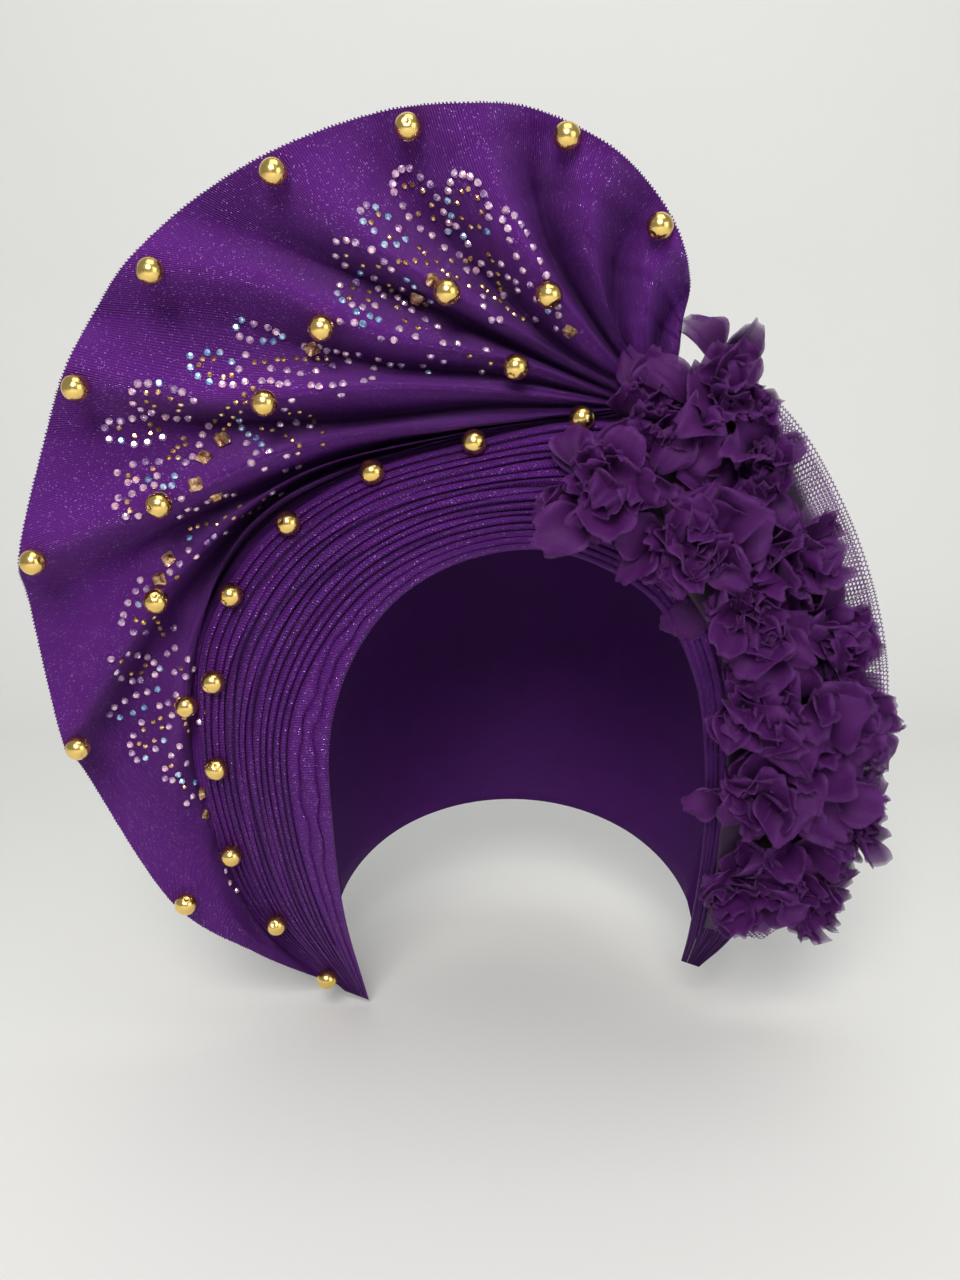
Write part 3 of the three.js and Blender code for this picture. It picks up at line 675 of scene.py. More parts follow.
# Painted shade in the fold valleys: none right at the knot, full a little way out, half as strong at the
# rim, with a slow wander.
shade = (1 - from_valley) ** 1.6 * smoothstep(far, 0, 0.12) * (1 - 0.5 * smoothstep(far, 0.35, 1))
mark_crease_shade(fan, shade + 0.12 * drift(round_it * 30, far * 6, 37))
wear(fan, fan_cloth)
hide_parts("fan")
declare_cloth(front)
print("fan rim, mm:", uv[-1, -1, 0].round(), "and", len(fan.data.polygons), "faces")


# %% [markdown]
# The cut rim shows the ends of the ribs as a row of fine teeth. They are made as one mesh: a
# small wedge for each tooth, laid out along the rim by arrays.


# %% Rim teeth
TOOTH_PITCH = 1.2
TOOTH_REACH = 0.55


def rim_teeth(name, rim, inward, thickness, pitch, reach):
    """Along the rim, each tooth is a wedge: four corners in the cloth and an edge outside it."""
    run = np.concatenate([[0], np.cumsum(np.linalg.norm(np.diff(rim, axis=0), axis=1))])
    count = int(run[-1] / pitch)
    ends = (np.arange(count)[:, None] + [0.12, 0.88]) * run[-1] / count
    foot = np.stack([np.interp(ends, run, rim[:, n]) for n in range(3)], -1)
    into = np.stack([np.interp(ends, run, inward[:, n]) for n in range(3)], -1)
    deep = np.array([0, thickness, 0])
    uneven = np.random.default_rng(8).uniform(0.6, 1.15, (count, 1, 1))
    middle = foot.mean(1, keepdims=True)
    tip = middle - into * reach * uneven + (foot - middle) * 0.45
    root = foot + into * reach
    corners = [root, root + deep, tip + deep * 0.15, tip + deep * 0.85]
    points = np.stack(corners, 2).reshape(-1, 3)
    one = np.array([
        [0, 4, 6, 2], [1, 3, 7, 5], [0, 2, 3, 1], [4, 5, 7, 6], [2, 6, 7, 3], [0, 1, 5, 4],
    ])
    faces = repeated(one, 8, count)
    flat_uv = np.stack([np.repeat(ends.ravel() / MM, 4), np.tile([0, 0, 1, 1], 2 * count)], -1)
    return mesh_object(name, points, faces, flat_uv, smooth=False)


rim = front[:, -1]
inward = front[:, -3] - front[:, -1]
inward /= np.linalg.norm(inward, axis=1, keepdims=True)
teeth = rim_teeth("fan_rim_teeth", rim, inward, FAN_WALL * MM, TOOTH_PITCH * MM, TOOTH_REACH * MM)
wear(teeth, fan_cloth)
print("teeth:", len(teeth.data.polygons) // 6)

# %% [markdown]
# ## Cap
# Behind the band is a cap that holds everything on the head. It isn't seen in front except as
# the lining of the opening. It is a part of an ellipsoid round the head, drawn from a hem loop
# up to the crown, in plain closely woven cloth with a turned hem.

# %% Cap surface
HEAD_AXES = np.array([79.0, 97, 113])
HEAD_CENTRE = np.array([0.0, 0, -112])
CROWN_DIRECTION = np.array([0, 0.15, 1]) / np.hypot(0.15, 1)
NAPE_ACROSS, NAPE_BACK, NAPE_UP, TAIL_UP = 70.0, 88.0, -158.0, -174.0
CAP_WALL = 1.6

hem_along = np.linspace(0.02, 0.98, 130)
hem_seen = band_seen(hem_along, np.full((130, 1), 0.75))[:, 0]
hem_seen[:, 2] += BAND_WALL + 0.6
hem_front = place_seen(hem_seen) / MM
ends = [np.arctan2(p[1] / NAPE_BACK, p[0] / NAPE_ACROSS) for p in (hem_front[-1], hem_front[0])]
nape_step = np.linspace(0, 1, 72)[1:-1]
angle = ends[0] + (ends[1] - ends[0]) * nape_step
nape_up = TAIL_UP + (NAPE_UP - TAIL_UP) * np.sin(np.pi * nape_step)
nape = np.stack([NAPE_ACROSS * np.cos(angle), NAPE_BACK * np.sin(angle), nape_up], -1)
hem = np.concatenate([hem_front, nape])
print("hem points:", len(hem))

# %% Cap mesh
steps_up = np.linspace(0, 1, 41)
steps_up[-1] = 0.9985
from_centre = (hem - HEAD_CENTRE) / HEAD_AXES
reach = np.linalg.norm(from_centre, axis=1)[:, None]
unit = from_centre / reach
swing = np.arccos(unit @ CROWN_DIRECTION)[:, None, None]
turning = unit[:, None] * np.sin((1 - steps_up)[None, :, None] * swing)
turning = turning + CROWN_DIRECTION * np.sin(steps_up[None, :, None] * swing)
turning /= np.linalg.norm(turning, axis=-1, keepdims=True)
flare = reach + (1 - reach) * steps_up**0.6
outside = turning * HEAD_AXES * flare[..., None]
length = np.linalg.norm(outside, axis=-1, keepdims=True)
inside = outside * (length - CAP_WALL) / length
turned_hem = smoothstep(steps_up, 0.0, 0.02) - smoothstep(steps_up, 0.06, 0.08)
hem_fold = 1 + 0.5 * CAP_WALL / length * turned_hem[:, None]
outer = (outside * hem_fold + HEAD_CENTRE) * MM
inner = (inside + HEAD_CENTRE) * MM
uv = cloth_uv(outer)
uv[..., 0] = uv[:, :1, 0]
cap = sheet_object("cap_cloth_sheet", outer, inner, uv, is_round=True)
print("cap:", len(cap.data.polygons), "faces")

# %% [markdown]
# The cap's cloth is plain: a tight over-and-under weave, with light painted on the raised
# threads as a paler colour, and the soft unevenness of dyed lining.


# %% Cap finish
def plain_cloth(name, shade_and_dark_dye_colour, lit_colour, pitch):
    """Weave height is the product of two waves, one along each direction of the cloth."""
    finish = Finish(name)
    u, v = finish.along_cloth()
    weave = u.wave(pitch) * v.wave(pitch)
    uneven = finish.noise(35.0, 4.0, 0.6)
    fuzz = finish.noise(900.0, 2.0)
    # Painted light on the raised threads of the weave; the slow noise is the dye's own unevenness.
    colour = finish.mix(weave * 0.4 + uneven * 0.5, (*shade_and_dark_dye_colour, 1), (*lit_colour, 1))
    return finish.finished(
        Base_Color=colour,
        Roughness=0.72 + uneven * 0.12,
        Specular_IOR_Level=0.2,
        Sheen_Weight=0.06,
        Sheen_Tint=(0.6, 0.25, 0.9, 1),
        Normal=finish.bump(weave + fuzz * 0.4, 0.00012, 0.6),
    )


cap_cloth = plain_cloth("cap_cloth", (0.024, 0.0015, 0.052), (0.080, 0.006, 0.150), 0.9)
wear(cap, cap_cloth)
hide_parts("head_cap")
declare_cloth(outer)
print("cap finish:", cap_cloth.name)

# %% [markdown]
# ## Net ruffle
# Two ruffles of fine net stand out behind the flowers, with hexagonal cells 1.6 mm wide. So
# many threads would be a heavy mesh, so each ruffle is a thin wavy sheet whose material is
# clear inside each cell. A hexagon grid is two rectangular grids, one shifted by half a cell,
# and each point belongs to the nearer centre. From about 12 mm inside its outer edge the net is
# bunched up, so it is nearly closed there, and its colour is darkened there as painted shade,
# in against the band and under the flowers.

# %% Net surface
NET_ROWS = np.array([
    # station, from, past
    [8.45, 0.5, 9],
    [9, 0.22, 21],
    [10, 0.22, 17],
    [11, 0.16, 17],
    [12, 0.16, 17],
    [13, 0.3, 7],
])
NET_LIFT = 2.1
NET_WALL = 0.25


def net_ruffle(name, waves, wave_height, lift, past_more, phase):
    """The band's surface, continued past its edge, with a cosine wave that grows outwards."""
    step = np.linspace(0, 1, 260)
    rows = curve(NET_ROWS, step)
    along = rows[:, 0] / LAST_STATION
    inner, outer, width, _ = band_edges(along)
    past = (rows[:, 2] + past_more)[:, None]
    out = np.linspace(0, 1, 40)
    share = rows[:, 1:2] + (1 + past / width[:, None] - rows[:, 1:2]) * out
    seen = inner[:, None] + (outer - inner)[:, None] * share[..., None]
    seen[..., 2] = band_seen(along, np.minimum(share, 1))[..., 2]
    beyond = np.clip((share - 0.8) * width[:, None] / past, 0, 1)
    frill = np.cos(2 * np.pi * waves * step + phase)[:, None] + 0.4 * drift(step[:, None] * 40, out * 5, 41)
    seen[..., 2] += wave_height * beyond * frill - lift
    front = place_seen(seen)
    seen[..., 2] += NET_WALL
    uv = cloth_uv(front)
    uv = np.stack([np.broadcast_to(uv[:, -1:, 0], uv.shape[:2]), uv[:, -1:, 1] - uv[..., 1]], -1)
    ruffle = sheet_object(name, front, place_seen(seen), uv)
    declare_cloth(front)
    return ruffle


net_under = net_ruffle("net_ruffle_under", 9, 2.2, NET_LIFT, 0.0, 0.0)
net_over = net_ruffle("net_ruffle_over", 13, 2.6, NET_LIFT + 1.4, 2.5, 1.3)
print("net:", len(net_under.data.polygons), "faces each")


# %% Net finish
def hexagon_net(name, colour, cell, thread):
    """Clear where the distance to the cell's edge is over half a thread."""
    finish = Finish(name)
    u, v = finish.along_cloth()
    tall = cell * 3**0.5

    def in_cell(shift):
        across = finish.math("WRAP", u + shift * cell / 2, -cell / 2, cell / 2)
        upward = finish.math("WRAP", v + shift * tall / 2, -tall / 2, tall / 2)
        across, upward = finish.math("ABSOLUTE", across), finish.math("ABSOLUTE", upward)
        slanted = across * 0.5 + upward * (3**0.5 / 2)
        return finish.math("MAXIMUM", across, slanted)

    from_middle = finish.math("MINIMUM", in_cell(0.0), in_cell(1.0))
    is_thread = from_middle.fade(cell / 2 - thread, cell / 2 - thread * 0.5)
    bunched = (v + finish.noise(60.0) * 8.0).fade(12.0, 19.0)
    shade = finish.mix(finish.noise(400.0), (*colour, 1), (*[1.5 * c for c in colour], 1))
    # Painted shade: where bunched, in against the band and under the flowers, the net is darkened to 0.3 of
    # its colour.
    shade = finish.mix(bunched, shade, (*[0.3 * c for c in colour], 1))
    return finish.finished(
        Base_Color=shade,
        Roughness=0.6 + finish.noise(200.0) * 0.1,
        Alpha=finish.math("MAXIMUM", is_thread * 0.82 + 0.03, bunched * 0.9),
        Sheen_Weight=0.05,
        Sheen_Tint=(0.7, 0.4, 0.85, 1),
        Normal=finish.bump(from_middle, 0.0002, 0.5),
    )


net_cloth = hexagon_net("net_cloth", (0.085, 0.022, 0.12), 1.6, 0.24)
for piece in (net_under, net_over):
    wear(piece, net_cloth)
    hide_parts("tulle_net")
print("net finish:", net_cloth.name)

# %% [markdown]
# ## Chiffon flowers
# Each flower is a bunch of cut chiffon petals in four rings, gathered at its foot; every third
# petal is sewn on at a second foot, so that the flowers run into each other. A petal is
# a grid over two numbers: t from its foot to its tip, and s from one side to the other. It
# widens and closes as a sine of t, is creased along its middle, and twists, curls and ruffles
# towards its free edge, each petal by amounts of its own. All petals of a flower are worked
# out in one go, as one array.

# %% Petals
FLOWERS = np.array([
    # radius, leans right and up in degrees, second foot right and up of the first in mm, and
    # how much shorter the petals are on the right, or with a minus on the left
    [13.5, 20, 25, -6, -8, 0.3],
    [12.2, -15, 0, 7, 6, 0],
    [13, 0, 15, -8, 3, -0.12],
    [14, 15, 10, -9, -10, 0.4],
    [14, -10, 0, 8, -8, -0.2],
    [13.5, 25, 5, -10, -2, 0.3],
    [14, 0, 0, 10, -8, -0.25],
    [12.5, 25, 0, -9, 6, 0.2],
    [14.5, 0, 0, 14, -4, -0.28],
    [12.5, 30, 0, -9, 9, 0.1],
    [14.5, 5, -5, 14, 4, -0.28],
    [12.3, 30, -10, -9, 9, 0.1],
    [14, 5, -15, 12, 9, -0.28],
    [12.8, 25, -20, -6, 9, 0.1],
])
RINGS = [
    # petals, reach as a share of the radius, tilt from the flower's axis in degrees
    (12, 1.58, 84),
    (12, 1.42, 64),
    (10, 1.22, 40),
    (5, 0.98, 16),
]
PETAL_ROWS, PETAL_COLUMNS = 10, 11
PETAL_WALL = 0.25
HUB_BEHIND = 0.36
STRIP_WIDTH = 0.02
PETAL_FILL = 0.60


def axes_of(right, up):
    """The way a flower faces, and two directions square to it."""
    right, up = np.radians([right, up])
    faces = np.array([np.sin(right), -np.cos(right) * np.cos(up), np.sin(up)])
    faces /= np.linalg.norm(faces)
    side = np.cross([0, 0, 1], faces)
    side /= np.linalg.norm(side)
    return side, np.cross(faces, side), faces


def petal_grids(radius, second_foot, shorter, seed):
    """Petal points as (petal, t, s, 3) in the flower's own axes, in millimetres."""
    pick = np.random.default_rng(seed)
    ring = np.repeat(np.arange(len(RINGS)), [r[0] for r in RINGS])
    place_in_ring = np.concatenate([np.arange(r[0]) / r[0] for r in RINGS])
    count = len(ring)
    turn = 2 * np.pi * place_in_ring + ring * 0.55 + pick.normal(0, 0.35, count)
    tilt = np.radians(np.array([r[2] for r in RINGS])[ring] + pick.normal(0, 20, count))
    reach = radius * np.array([r[1] for r in RINGS])[ring] * pick.uniform(0.70, 1.08, count)
    reach *= 1 - np.maximum(0, shorter * np.cos(turn))
    wide = reach * pick.uniform(0.30, 0.48, count)
    t = np.linspace(0, 1, PETAL_ROWS)[None, :, None]
    s = np.linspace(-1, 1, PETAL_COLUMNS)[None, None, :]

    def each(values):
        return values[:, None, None]

    closes, pointed = each(pick.uniform(0.68, 0.84, count)), each(pick.uniform(0.14, 0.36, count))
    width = each(wide) * (0.12 + 0.88 * np.sin(np.pi * t**0.85 * closes) ** 1.1)
    waves, phase = each(pick.uniform(2.0, 4.2, count)), each(pick.uniform(0, 6.3, count))
    ragged = 0.035 * np.sin(8 * s + 2 * phase)
    along = each(reach) * (t - (pointed * s**2 + ragged) * t**2)
    sideways = width * s
    ruffle = each(reach) * 0.10 * t**2 * np.sin(waves * s * 2 + phase) * (0.35 + np.abs(s))
    crease = each(reach * pick.uniform(-0.08, 0.32, count)) * np.abs(s) ** 1.3 * np.sin(np.pi * t * 0.8)
    curl = each(reach * pick.uniform(-0.42, 0.34, count)) * t**3
    twist = each(pick.normal(0, 0.38, count)) * sideways * t
    lift = crease + ruffle + curl + twist + each(reach) * 0.22 * np.sin(np.pi * t * 0.5)
    outwards = along * np.sin(each(tilt)) - lift * np.cos(each(tilt))
    forwards = along * np.cos(each(tilt)) + lift * np.sin(each(tilt))
    cos, sin = np.cos(each(turn)), np.sin(each(turn))
    petals = np.stack([
        outwards * cos - sideways * sin,
        outwards * sin + sideways * cos,
        forwards + 0 * s,
    ], -1)
    feet = np.concatenate([
        pick.normal(0, 0.30 * radius, (count, 2)),
        pick.uniform(0, 0.2 * radius, (count, 1)),
    ], 1)
    feet[1::3, :2] += second_foot
    return petals + feet[:, None, None]


print("petals in a flower:", sum(r[0] for r in RINGS))


# %% [markdown]
# Each petal gets a wall of 0.25 mm: two copies of its grid are moved apart along its normals.
# Its UV map holds t and the distance from the free edge, where the finish makes the cut edge
# paler. The petals' whole area is worked out over a strip 20 mm wide, and nothing uses it.


# %% Flower meshes
def flower_object(number):
    """All petals of one flower as closed thin sheets, hub on the point where the CAD hub is."""
    radius, right, up = FLOWERS[number, :3]
    node = f"flower_{number + 1:02d}"
    side, upward, faces = axes_of(right, up)
    low, high = (np.array(corner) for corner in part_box(node))
    hub = (low + high) / 2 / MM - faces * radius * HUB_BEHIND
    petals = petal_grids(radius, FLOWERS[number, 3:5], FLOWERS[number, 5], 100 + number)
    normal = np.cross(np.gradient(petals, axis=1), np.gradient(petals, axis=2))
    normal /= np.maximum(np.linalg.norm(normal, axis=-1, keepdims=True), 1e-9)
    frames = np.stack([side, upward, faces])
    grids = [hub + (petals + normal * wall) @ frames for wall in (PETAL_WALL / 2, -PETAL_WALL / 2)]
    one = sheet_faces(PETAL_ROWS, PETAL_COLUMNS)
    size = PETAL_ROWS * PETAL_COLUMNS
    points = np.stack([g.reshape(len(petals), size, 3) for g in grids], 1).reshape(-1, 3) * MM
    faces_all = repeated(one, 2 * size, len(petals))
    t = np.linspace(0, 1, PETAL_ROWS)[:, None]
    s = np.linspace(-1, 1, PETAL_COLUMNS)[None]
    from_edge = np.minimum((1 - t) * 1.0 + 0 * s, (1 - np.abs(s)) * 0.55 + 0 * t)
    place = np.stack([t + 0 * s, from_edge], -1).reshape(-1, 2)
    whole_uv = np.tile(place, (2 * len(petals), 1))
    flower = mesh_object(f"chiffon_{node}", points, faces_all, whole_uv)
    wear(flower, chiffon)
    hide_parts(node)
    area = PETAL_FILL * sum(r[0] * (r[1] * radius * MM) ** 2 for r in RINGS)
    area / STRIP_WIDTH
    return flower


def chiffon_finish(name):
    """Dense at the foot and darkened there as painted shade deep in the flower; paler, redder and sheerer
    towards the cut edge.
    """
    finish = Finish(name)
    foot, edge = finish.along_cloth()
    fray = finish.noise(700.0, 4.0, 0.7)
    at_edge = 1 - (edge + fray * 0.06).fade(0.02, 0.16)
    cloudy = finish.noise(70.0, 3.0)
    weave = finish.noise(1600.0, 1.0)
    # Painted shade: the petals are darkest at the foot, deep in the flower, and lightest towards the tip;
    # the slow noise is the cloth's own unevenness.
    depth = foot.fade(0.1, 1.0) * 0.6 + cloudy * 0.4
    colour = finish.mix(depth, (0.017, 0.0015, 0.026, 1), (0.088, 0.012, 0.130, 1))
    colour = finish.mix(at_edge * 0.45, colour, (0.18, 0.05, 0.25, 1))
    return finish.finished(
        Base_Color=colour,
        Roughness=0.62 - at_edge * 0.1,
        Alpha=0.94 - at_edge * 0.28 - foot.fade(0.45, 1.0) * 0.32,
        Specular_IOR_Level=0.15,
        Sheen_Weight=0.10,
        Sheen_Roughness=0.35,
        Sheen_Tint=(0.7, 0.4, 0.85, 1),
        Normal=finish.bump(weave, 0.0001, 0.5),
    )


chiffon = chiffon_finish("chiffon")
flowers = [flower_object(number) for number in range(len(FLOWERS))]
print("flowers:", len(flowers), "of", len(flowers[0].data.polygons), "faces")

# %% [markdown]
# ## Gold ball beads
# The beads are 8 mm balls of bright plated metal. Each ball is a grid of latitude and longitude
# with a small dimple at each end of its thread hole. All balls of a row are one mesh.

# %% Bead meshes
BEAD_RADIUS = 4.0
POLE_GAP = 1e-6
ball_rows, ball_columns = 18, 28
ball_up = np.linspace(0, np.pi, ball_rows)[:, None]
ball_round = np.linspace(0, 2 * np.pi, ball_columns, endpoint=False)[None]
dimple = 1 - 0.16 * np.exp(-((np.sin(ball_up) / 0.16) ** 2))
ball = np.stack([
    np.sin(ball_up) * np.cos(ball_round) * dimple,
    np.sin(ball_up) * np.sin(ball_round) * dimple,
    np.cos(ball_up) * dimple + 0 * ball_round,
], -1).reshape(-1, 3)
ball_index = np.arange(ball_rows * ball_columns).reshape(ball_rows, ball_columns)
ball_wrap = np.hstack([ball_index, ball_index[:, :1]])
ball_faces = grid_cells(ball_wrap)


def close_poles(piece):
    """Merges points that lie on each other, as those at the two ends of a ball do."""
    work = bmesh.new()
    work.from_mesh(piece.data)
    bmesh.ops.remove_doubles(work, verts=work.verts, dist=POLE_GAP)
    work.to_mesh(piece.data)
    work.free()


def bead_row(name, nodes):
    """Balls about the middle of each node's box, each turned its own way."""
    middles = np.array([np.mean(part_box(node), axis=0) for node in nodes])
    spin = np.random.default_rng(len(nodes)).normal(0, 1, (len(nodes), 3, 3))
    turned = np.einsum("pi,nij->npj", ball, np.linalg.qr(spin)[0])
    points = (middles[:, None] + turned * BEAD_RADIUS * MM).reshape(-1, 3)
    row = mesh_object(name, points, repeated(ball_faces, len(ball), len(nodes)))
    close_poles(row)
    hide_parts(*nodes)
    return row


bead_counts = {"rim": 10, "middle": 8, "band": 9}
bead_rows = [
    bead_row(f"gold_beads_{row}", [f"bead_{row}_{n:02d}" for n in range(1, count + 1)])
    for row, count in bead_counts.items()
]
print("beads:", sum(bead_counts.values()))

# %% [markdown]
# Polished plating is nearly a mirror. What makes it look real is small: a slow change of
# roughness where it was handled, a faint waviness, and a redder gold where the plating is thin.


# %% Gold finish
def gold_finish(name):
    """Metal whose colour, roughness and bump each follow a noise of their own."""
    finish = Finish(name)
    thin = finish.noise(160.0, 3.0)
    handled = finish.noise(420.0, 4.0, 0.6)
    return finish.finished(
        Base_Color=finish.mix(thin, (0.86, 0.56, 0.13, 1), (0.93, 0.70, 0.27, 1)),
        Metallic=1.0,
        Roughness=0.14 + handled * 0.14,
        Normal=finish.bump(handled + finish.noise(1100.0), 0.00008, 0.6),
    )


gold = gold_finish("bright_gold")
for row in bead_rows:
    wear(row, gold)
print("gold finish:", gold.name)

# %% [markdown]
# ## Cut stones
# The square stones keep their CAD shape: a table and eight facets. The glass is backed with
# foil, so it is as bright as metal and changes colour with the way each facet looks.


# %% Square stone finish
def cut_stone(name, stops, scale, metallic=0.75):
    """A noise picks a colour from a ramp of the colours that the stone flashes."""
    finish = Finish(name)
    flash = finish.noise(scale, 2.0, 0.7)
    ramp = finish.node("ValToRGB", {"stops": stops}, {0: flash})
    return finish.finished(
        Base_Color=ramp.outputs[0],
        Metallic=metallic,
        Roughness=0.06 + flash * 0.08,
        Coat_Weight=0.6,
        Coat_Roughness=0.03,
        Normal=finish.bump(flash, 0.00005, 0.2),
    )


amber_stops = [
    (0.30, (0.09, 0.035, 0.03)),
    (0.45, (0.45, 0.22, 0.09)),
    (0.58, (0.78, 0.50, 0.26)),
    (0.7, (0.92, 0.76, 0.58)),
]
square_finish = cut_stone("square_crystal", amber_stops, 520.0)
for number in range(1, 13):
    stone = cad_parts[f"square_stone_{number:02d}"]
    wear(stone, square_finish)
print("square stones take:", square_finish.name)

# %% [markdown]
# ## Small round stones
# Nearly 480 flat-backed stones are glued on the fan in leaf-shaped loops, pale and blue ones
# round the edge and small amber ones inside. The chart below was read in the photograph's own
# frame of 960 by 1280. A leaf is drawn from base to tip with a width, and its stones are spread
# evenly round its edge. Rows and single stones lie between the leaves.

# %% Leaf chart
LEAVES = np.array([
    # base x, y   tip x, y    width, stones round the edge and inside, blue share of the edge
    [446, 238, 398, 171, 40, 17, 8, 0.1],
    [480, 245, 460, 174, 42, 18, 8, 0.15],
    [558, 320, 506, 212, 22, 22, 9, 0.1],
    [405, 246, 362, 208, 24, 11, 4, 0.7],
    [392, 274, 335, 243, 28, 13, 5, 0.2],
    [384, 300, 337, 290, 28, 12, 4, 0.3],
    [283, 338, 234, 327, 20, 12, 3, 0.4],
    [246, 380, 188, 358, 32, 15, 7, 0.5],
    [199, 412, 130, 392, 34, 17, 8, 0.1],
    [177, 429, 104, 431, 28, 16, 7, 0.2],
    [165, 468, 117, 475, 22, 12, 5, 0.2],
    [165, 490, 116, 510, 24, 12, 5, 0.3],
    [157, 672, 110, 662, 32, 14, 6, 0.2],
    [152, 695, 111, 717, 18, 11, 4, 0.3],
    [170, 705, 134, 757, 32, 14, 7, 0.2],
    [187, 745, 168, 780, 18, 9, 3, 0.2],
    [187, 765, 188, 806, 14, 9, 2, 0.3],
])
ROWS = np.array([
    # from x, y   to x, y     stones, kind (0 pale, 1 blue, 2 amber)
    [405, 262, 470, 258, 9, 2],
    [430, 240, 486, 264, 9, 0],
    [418, 250, 468, 286, 9, 2],
    [384, 256, 430, 300, 9, 1],
    [398, 298, 444, 332, 8, 0],
    [398, 330, 486, 352, 14, 0],
    [404, 322, 490, 362, 12, 2],
    [500, 262, 520, 302, 7, 0],
    [484, 288, 522, 320, 7, 2],
    [440, 262, 452, 226, 5, 2],
    [470, 232, 500, 290, 9, 2],
    [388, 300, 424, 304, 5, 2],
    [350, 268, 392, 290, 7, 2],
    [258, 362, 326, 360, 11, 2],
    [262, 380, 372, 380, 15, 0],
    [284, 345, 345, 352, 9, 0],
    [246, 402, 214, 446, 9, 2],
    [292, 412, 322, 446, 6, 2],
    [262, 428, 300, 446, 6, 2],
    [238, 420, 262, 446, 5, 1],
    [186, 440, 150, 470, 7, 2],
    [176, 478, 150, 500, 6, 1],
    [180, 516, 276, 492, 15, 0],
    [190, 530, 262, 508, 10, 2],
    [170, 574, 196, 556, 5, 0],
    [150, 606, 168, 640, 7, 2],
    [160, 640, 176, 700, 10, 0],
    [176, 690, 192, 740, 8, 2],
    [186, 700, 198, 760, 9, 0],
    [158, 690, 152, 742, 8, 1],
])
PALE = np.array([
    [244, 355], [255, 364], [271, 370], [285, 373], [302, 374], [315, 372], [332, 368], [347, 362],
    [359, 354], [244, 408], [236, 414], [229, 425], [209, 428], [203, 435], [198, 446], [192, 456],
    [186, 463], [182, 468], [177, 474], [178, 483], [291, 398], [301, 407], [284, 408], [279, 426],
    [298, 425], [309, 427], [319, 421], [283, 436], [247, 433], [246, 443], [244, 424], [260, 453],
    [272, 451], [286, 456], [299, 463], [285, 468], [252, 462], [265, 467], [135, 590], [146, 590],
    [142, 580], [129, 602], [125, 615], [123, 623], [125, 629], [133, 633], [147, 631], [147, 640],
    [424, 341], [436, 349], [430, 356], [421, 364], [443, 359], [456, 347], [474, 349], [479, 361],
    [463, 354], [483, 371], [394, 339], [380, 336], [359, 354], [378, 359], [390, 362], [375, 368],
    [347, 361], [400, 368], [359, 388], [342, 394], [354, 397], [333, 386], [339, 321], [352, 324],
    [482, 308], [492, 318], [501, 321], [514, 316], [515, 308], [482, 298], [491, 298], [502, 296],
    [514, 296], [466, 270], [478, 272], [480, 282], [453, 267], [491, 273], [503, 277], [525, 322],
    [535, 317], [546, 316], [557, 328], [552, 334], [411, 307], [421, 319], [428, 327], [401, 324],
    [402, 289], [417, 267], [406, 278], [384, 269], [226, 511], [237, 517], [251, 510], [271, 491],
    [255, 492], [281, 497], [245, 489], [206, 541], [214, 537], [225, 532], [189, 549], [188, 564],
    [182, 497], [172, 494], [177, 504], [177, 519], [173, 628], [174, 637], [174, 649], [169, 647],
    [181, 649], [169, 654], [171, 661], [178, 660], [190, 659], [193, 669], [185, 678], [175, 680],
    [201, 722], [219, 856], [225, 872], [230, 881], [235, 890], [241, 892],
])
BLUE = np.array([
    [140, 605], [428, 373], [465, 343], [365, 323], [368, 317], [355, 313], [378, 322], [262, 484],
    [190, 537],
])
AMBER = np.array([
    [252, 389], [244, 395], [235, 400], [227, 407], [221, 413], [214, 423], [190, 436], [187, 443],
    [183, 451], [179, 458], [254, 432], [297, 453], [136, 621], [146, 622], [337, 354], [327, 359],
    [391, 307], [399, 308], [391, 278], [400, 260], [392, 268], [241, 507], [264, 499], [177, 564],
    [176, 576], [180, 668], [204, 710],
])
print("leaves:", len(LEAVES), "rows:", len(ROWS), "single stones:", len(PALE) + len(BLUE) + len(AMBER))


# %% Stones round a leaf
UNEVEN_PIXELS = 1.1
STONE_RADII = np.array([1.28, 1.18, 0.95])


def leaf_stones(leaf):
    """Round the edge: t runs base, tip, base; the side step is half the width times a sine of t."""
    base, tip, width = leaf[0:2], leaf[2:4], leaf[4]
    axis = tip - base
    side = np.array([-axis[1], axis[0]]) / np.linalg.norm(axis)

    def ring(count, scale):
        turn = 2 * np.pi * (np.arange(int(count)) + 0.5) / count
        t = 0.5 + 0.5 * scale * np.cos(turn) + 0.06 * (1 - scale)
        reach = 0.5 * width * scale * np.sin(turn) * (0.75 + 0.25 * t)
        return base + axis * t[:, None] + side * reach[:, None]

    return ring(leaf[5], 1.0), ring(leaf[6], 0.55)


pick = np.random.default_rng(77)
pixels, kinds = [], []
for leaf in LEAVES:
    edge, middle = leaf_stones(leaf)
    pixels += [edge, middle]
    kinds += [np.where(pick.random(len(edge)) < leaf[7], 1, 0), np.full(len(middle), 2)]
for row in ROWS:
    step = (np.arange(row[4]) / (row[4] - 1))[:, None]
    bow = 4 * step * (1 - step) * pick.normal(0, 4.5, 2)
    pixels.append(row[0:2] + (row[2:4] - row[0:2]) * step + bow)
    kinds.append(np.full(row[4], row[5]))
for number, singles in enumerate((PALE, BLUE, AMBER)):
    pixels.append(singles.astype(float))
    kinds.append(np.full(len(singles), number))
pixels, kinds = np.concatenate(pixels), np.concatenate(kinds)
pixels += pick.normal(0, UNEVEN_PIXELS, pixels.shape)
apart = np.linalg.norm(pixels[:, None] - pixels[None], axis=-1)
radii = STONE_RADII[kinds] * PIXELS_PER_MM
crowded = np.tril(apart < radii[:, None] + radii, -1).any(1)
pixels, kinds = pixels[~crowded], kinds[~crowded]
print("small stones charted:", len(pixels))

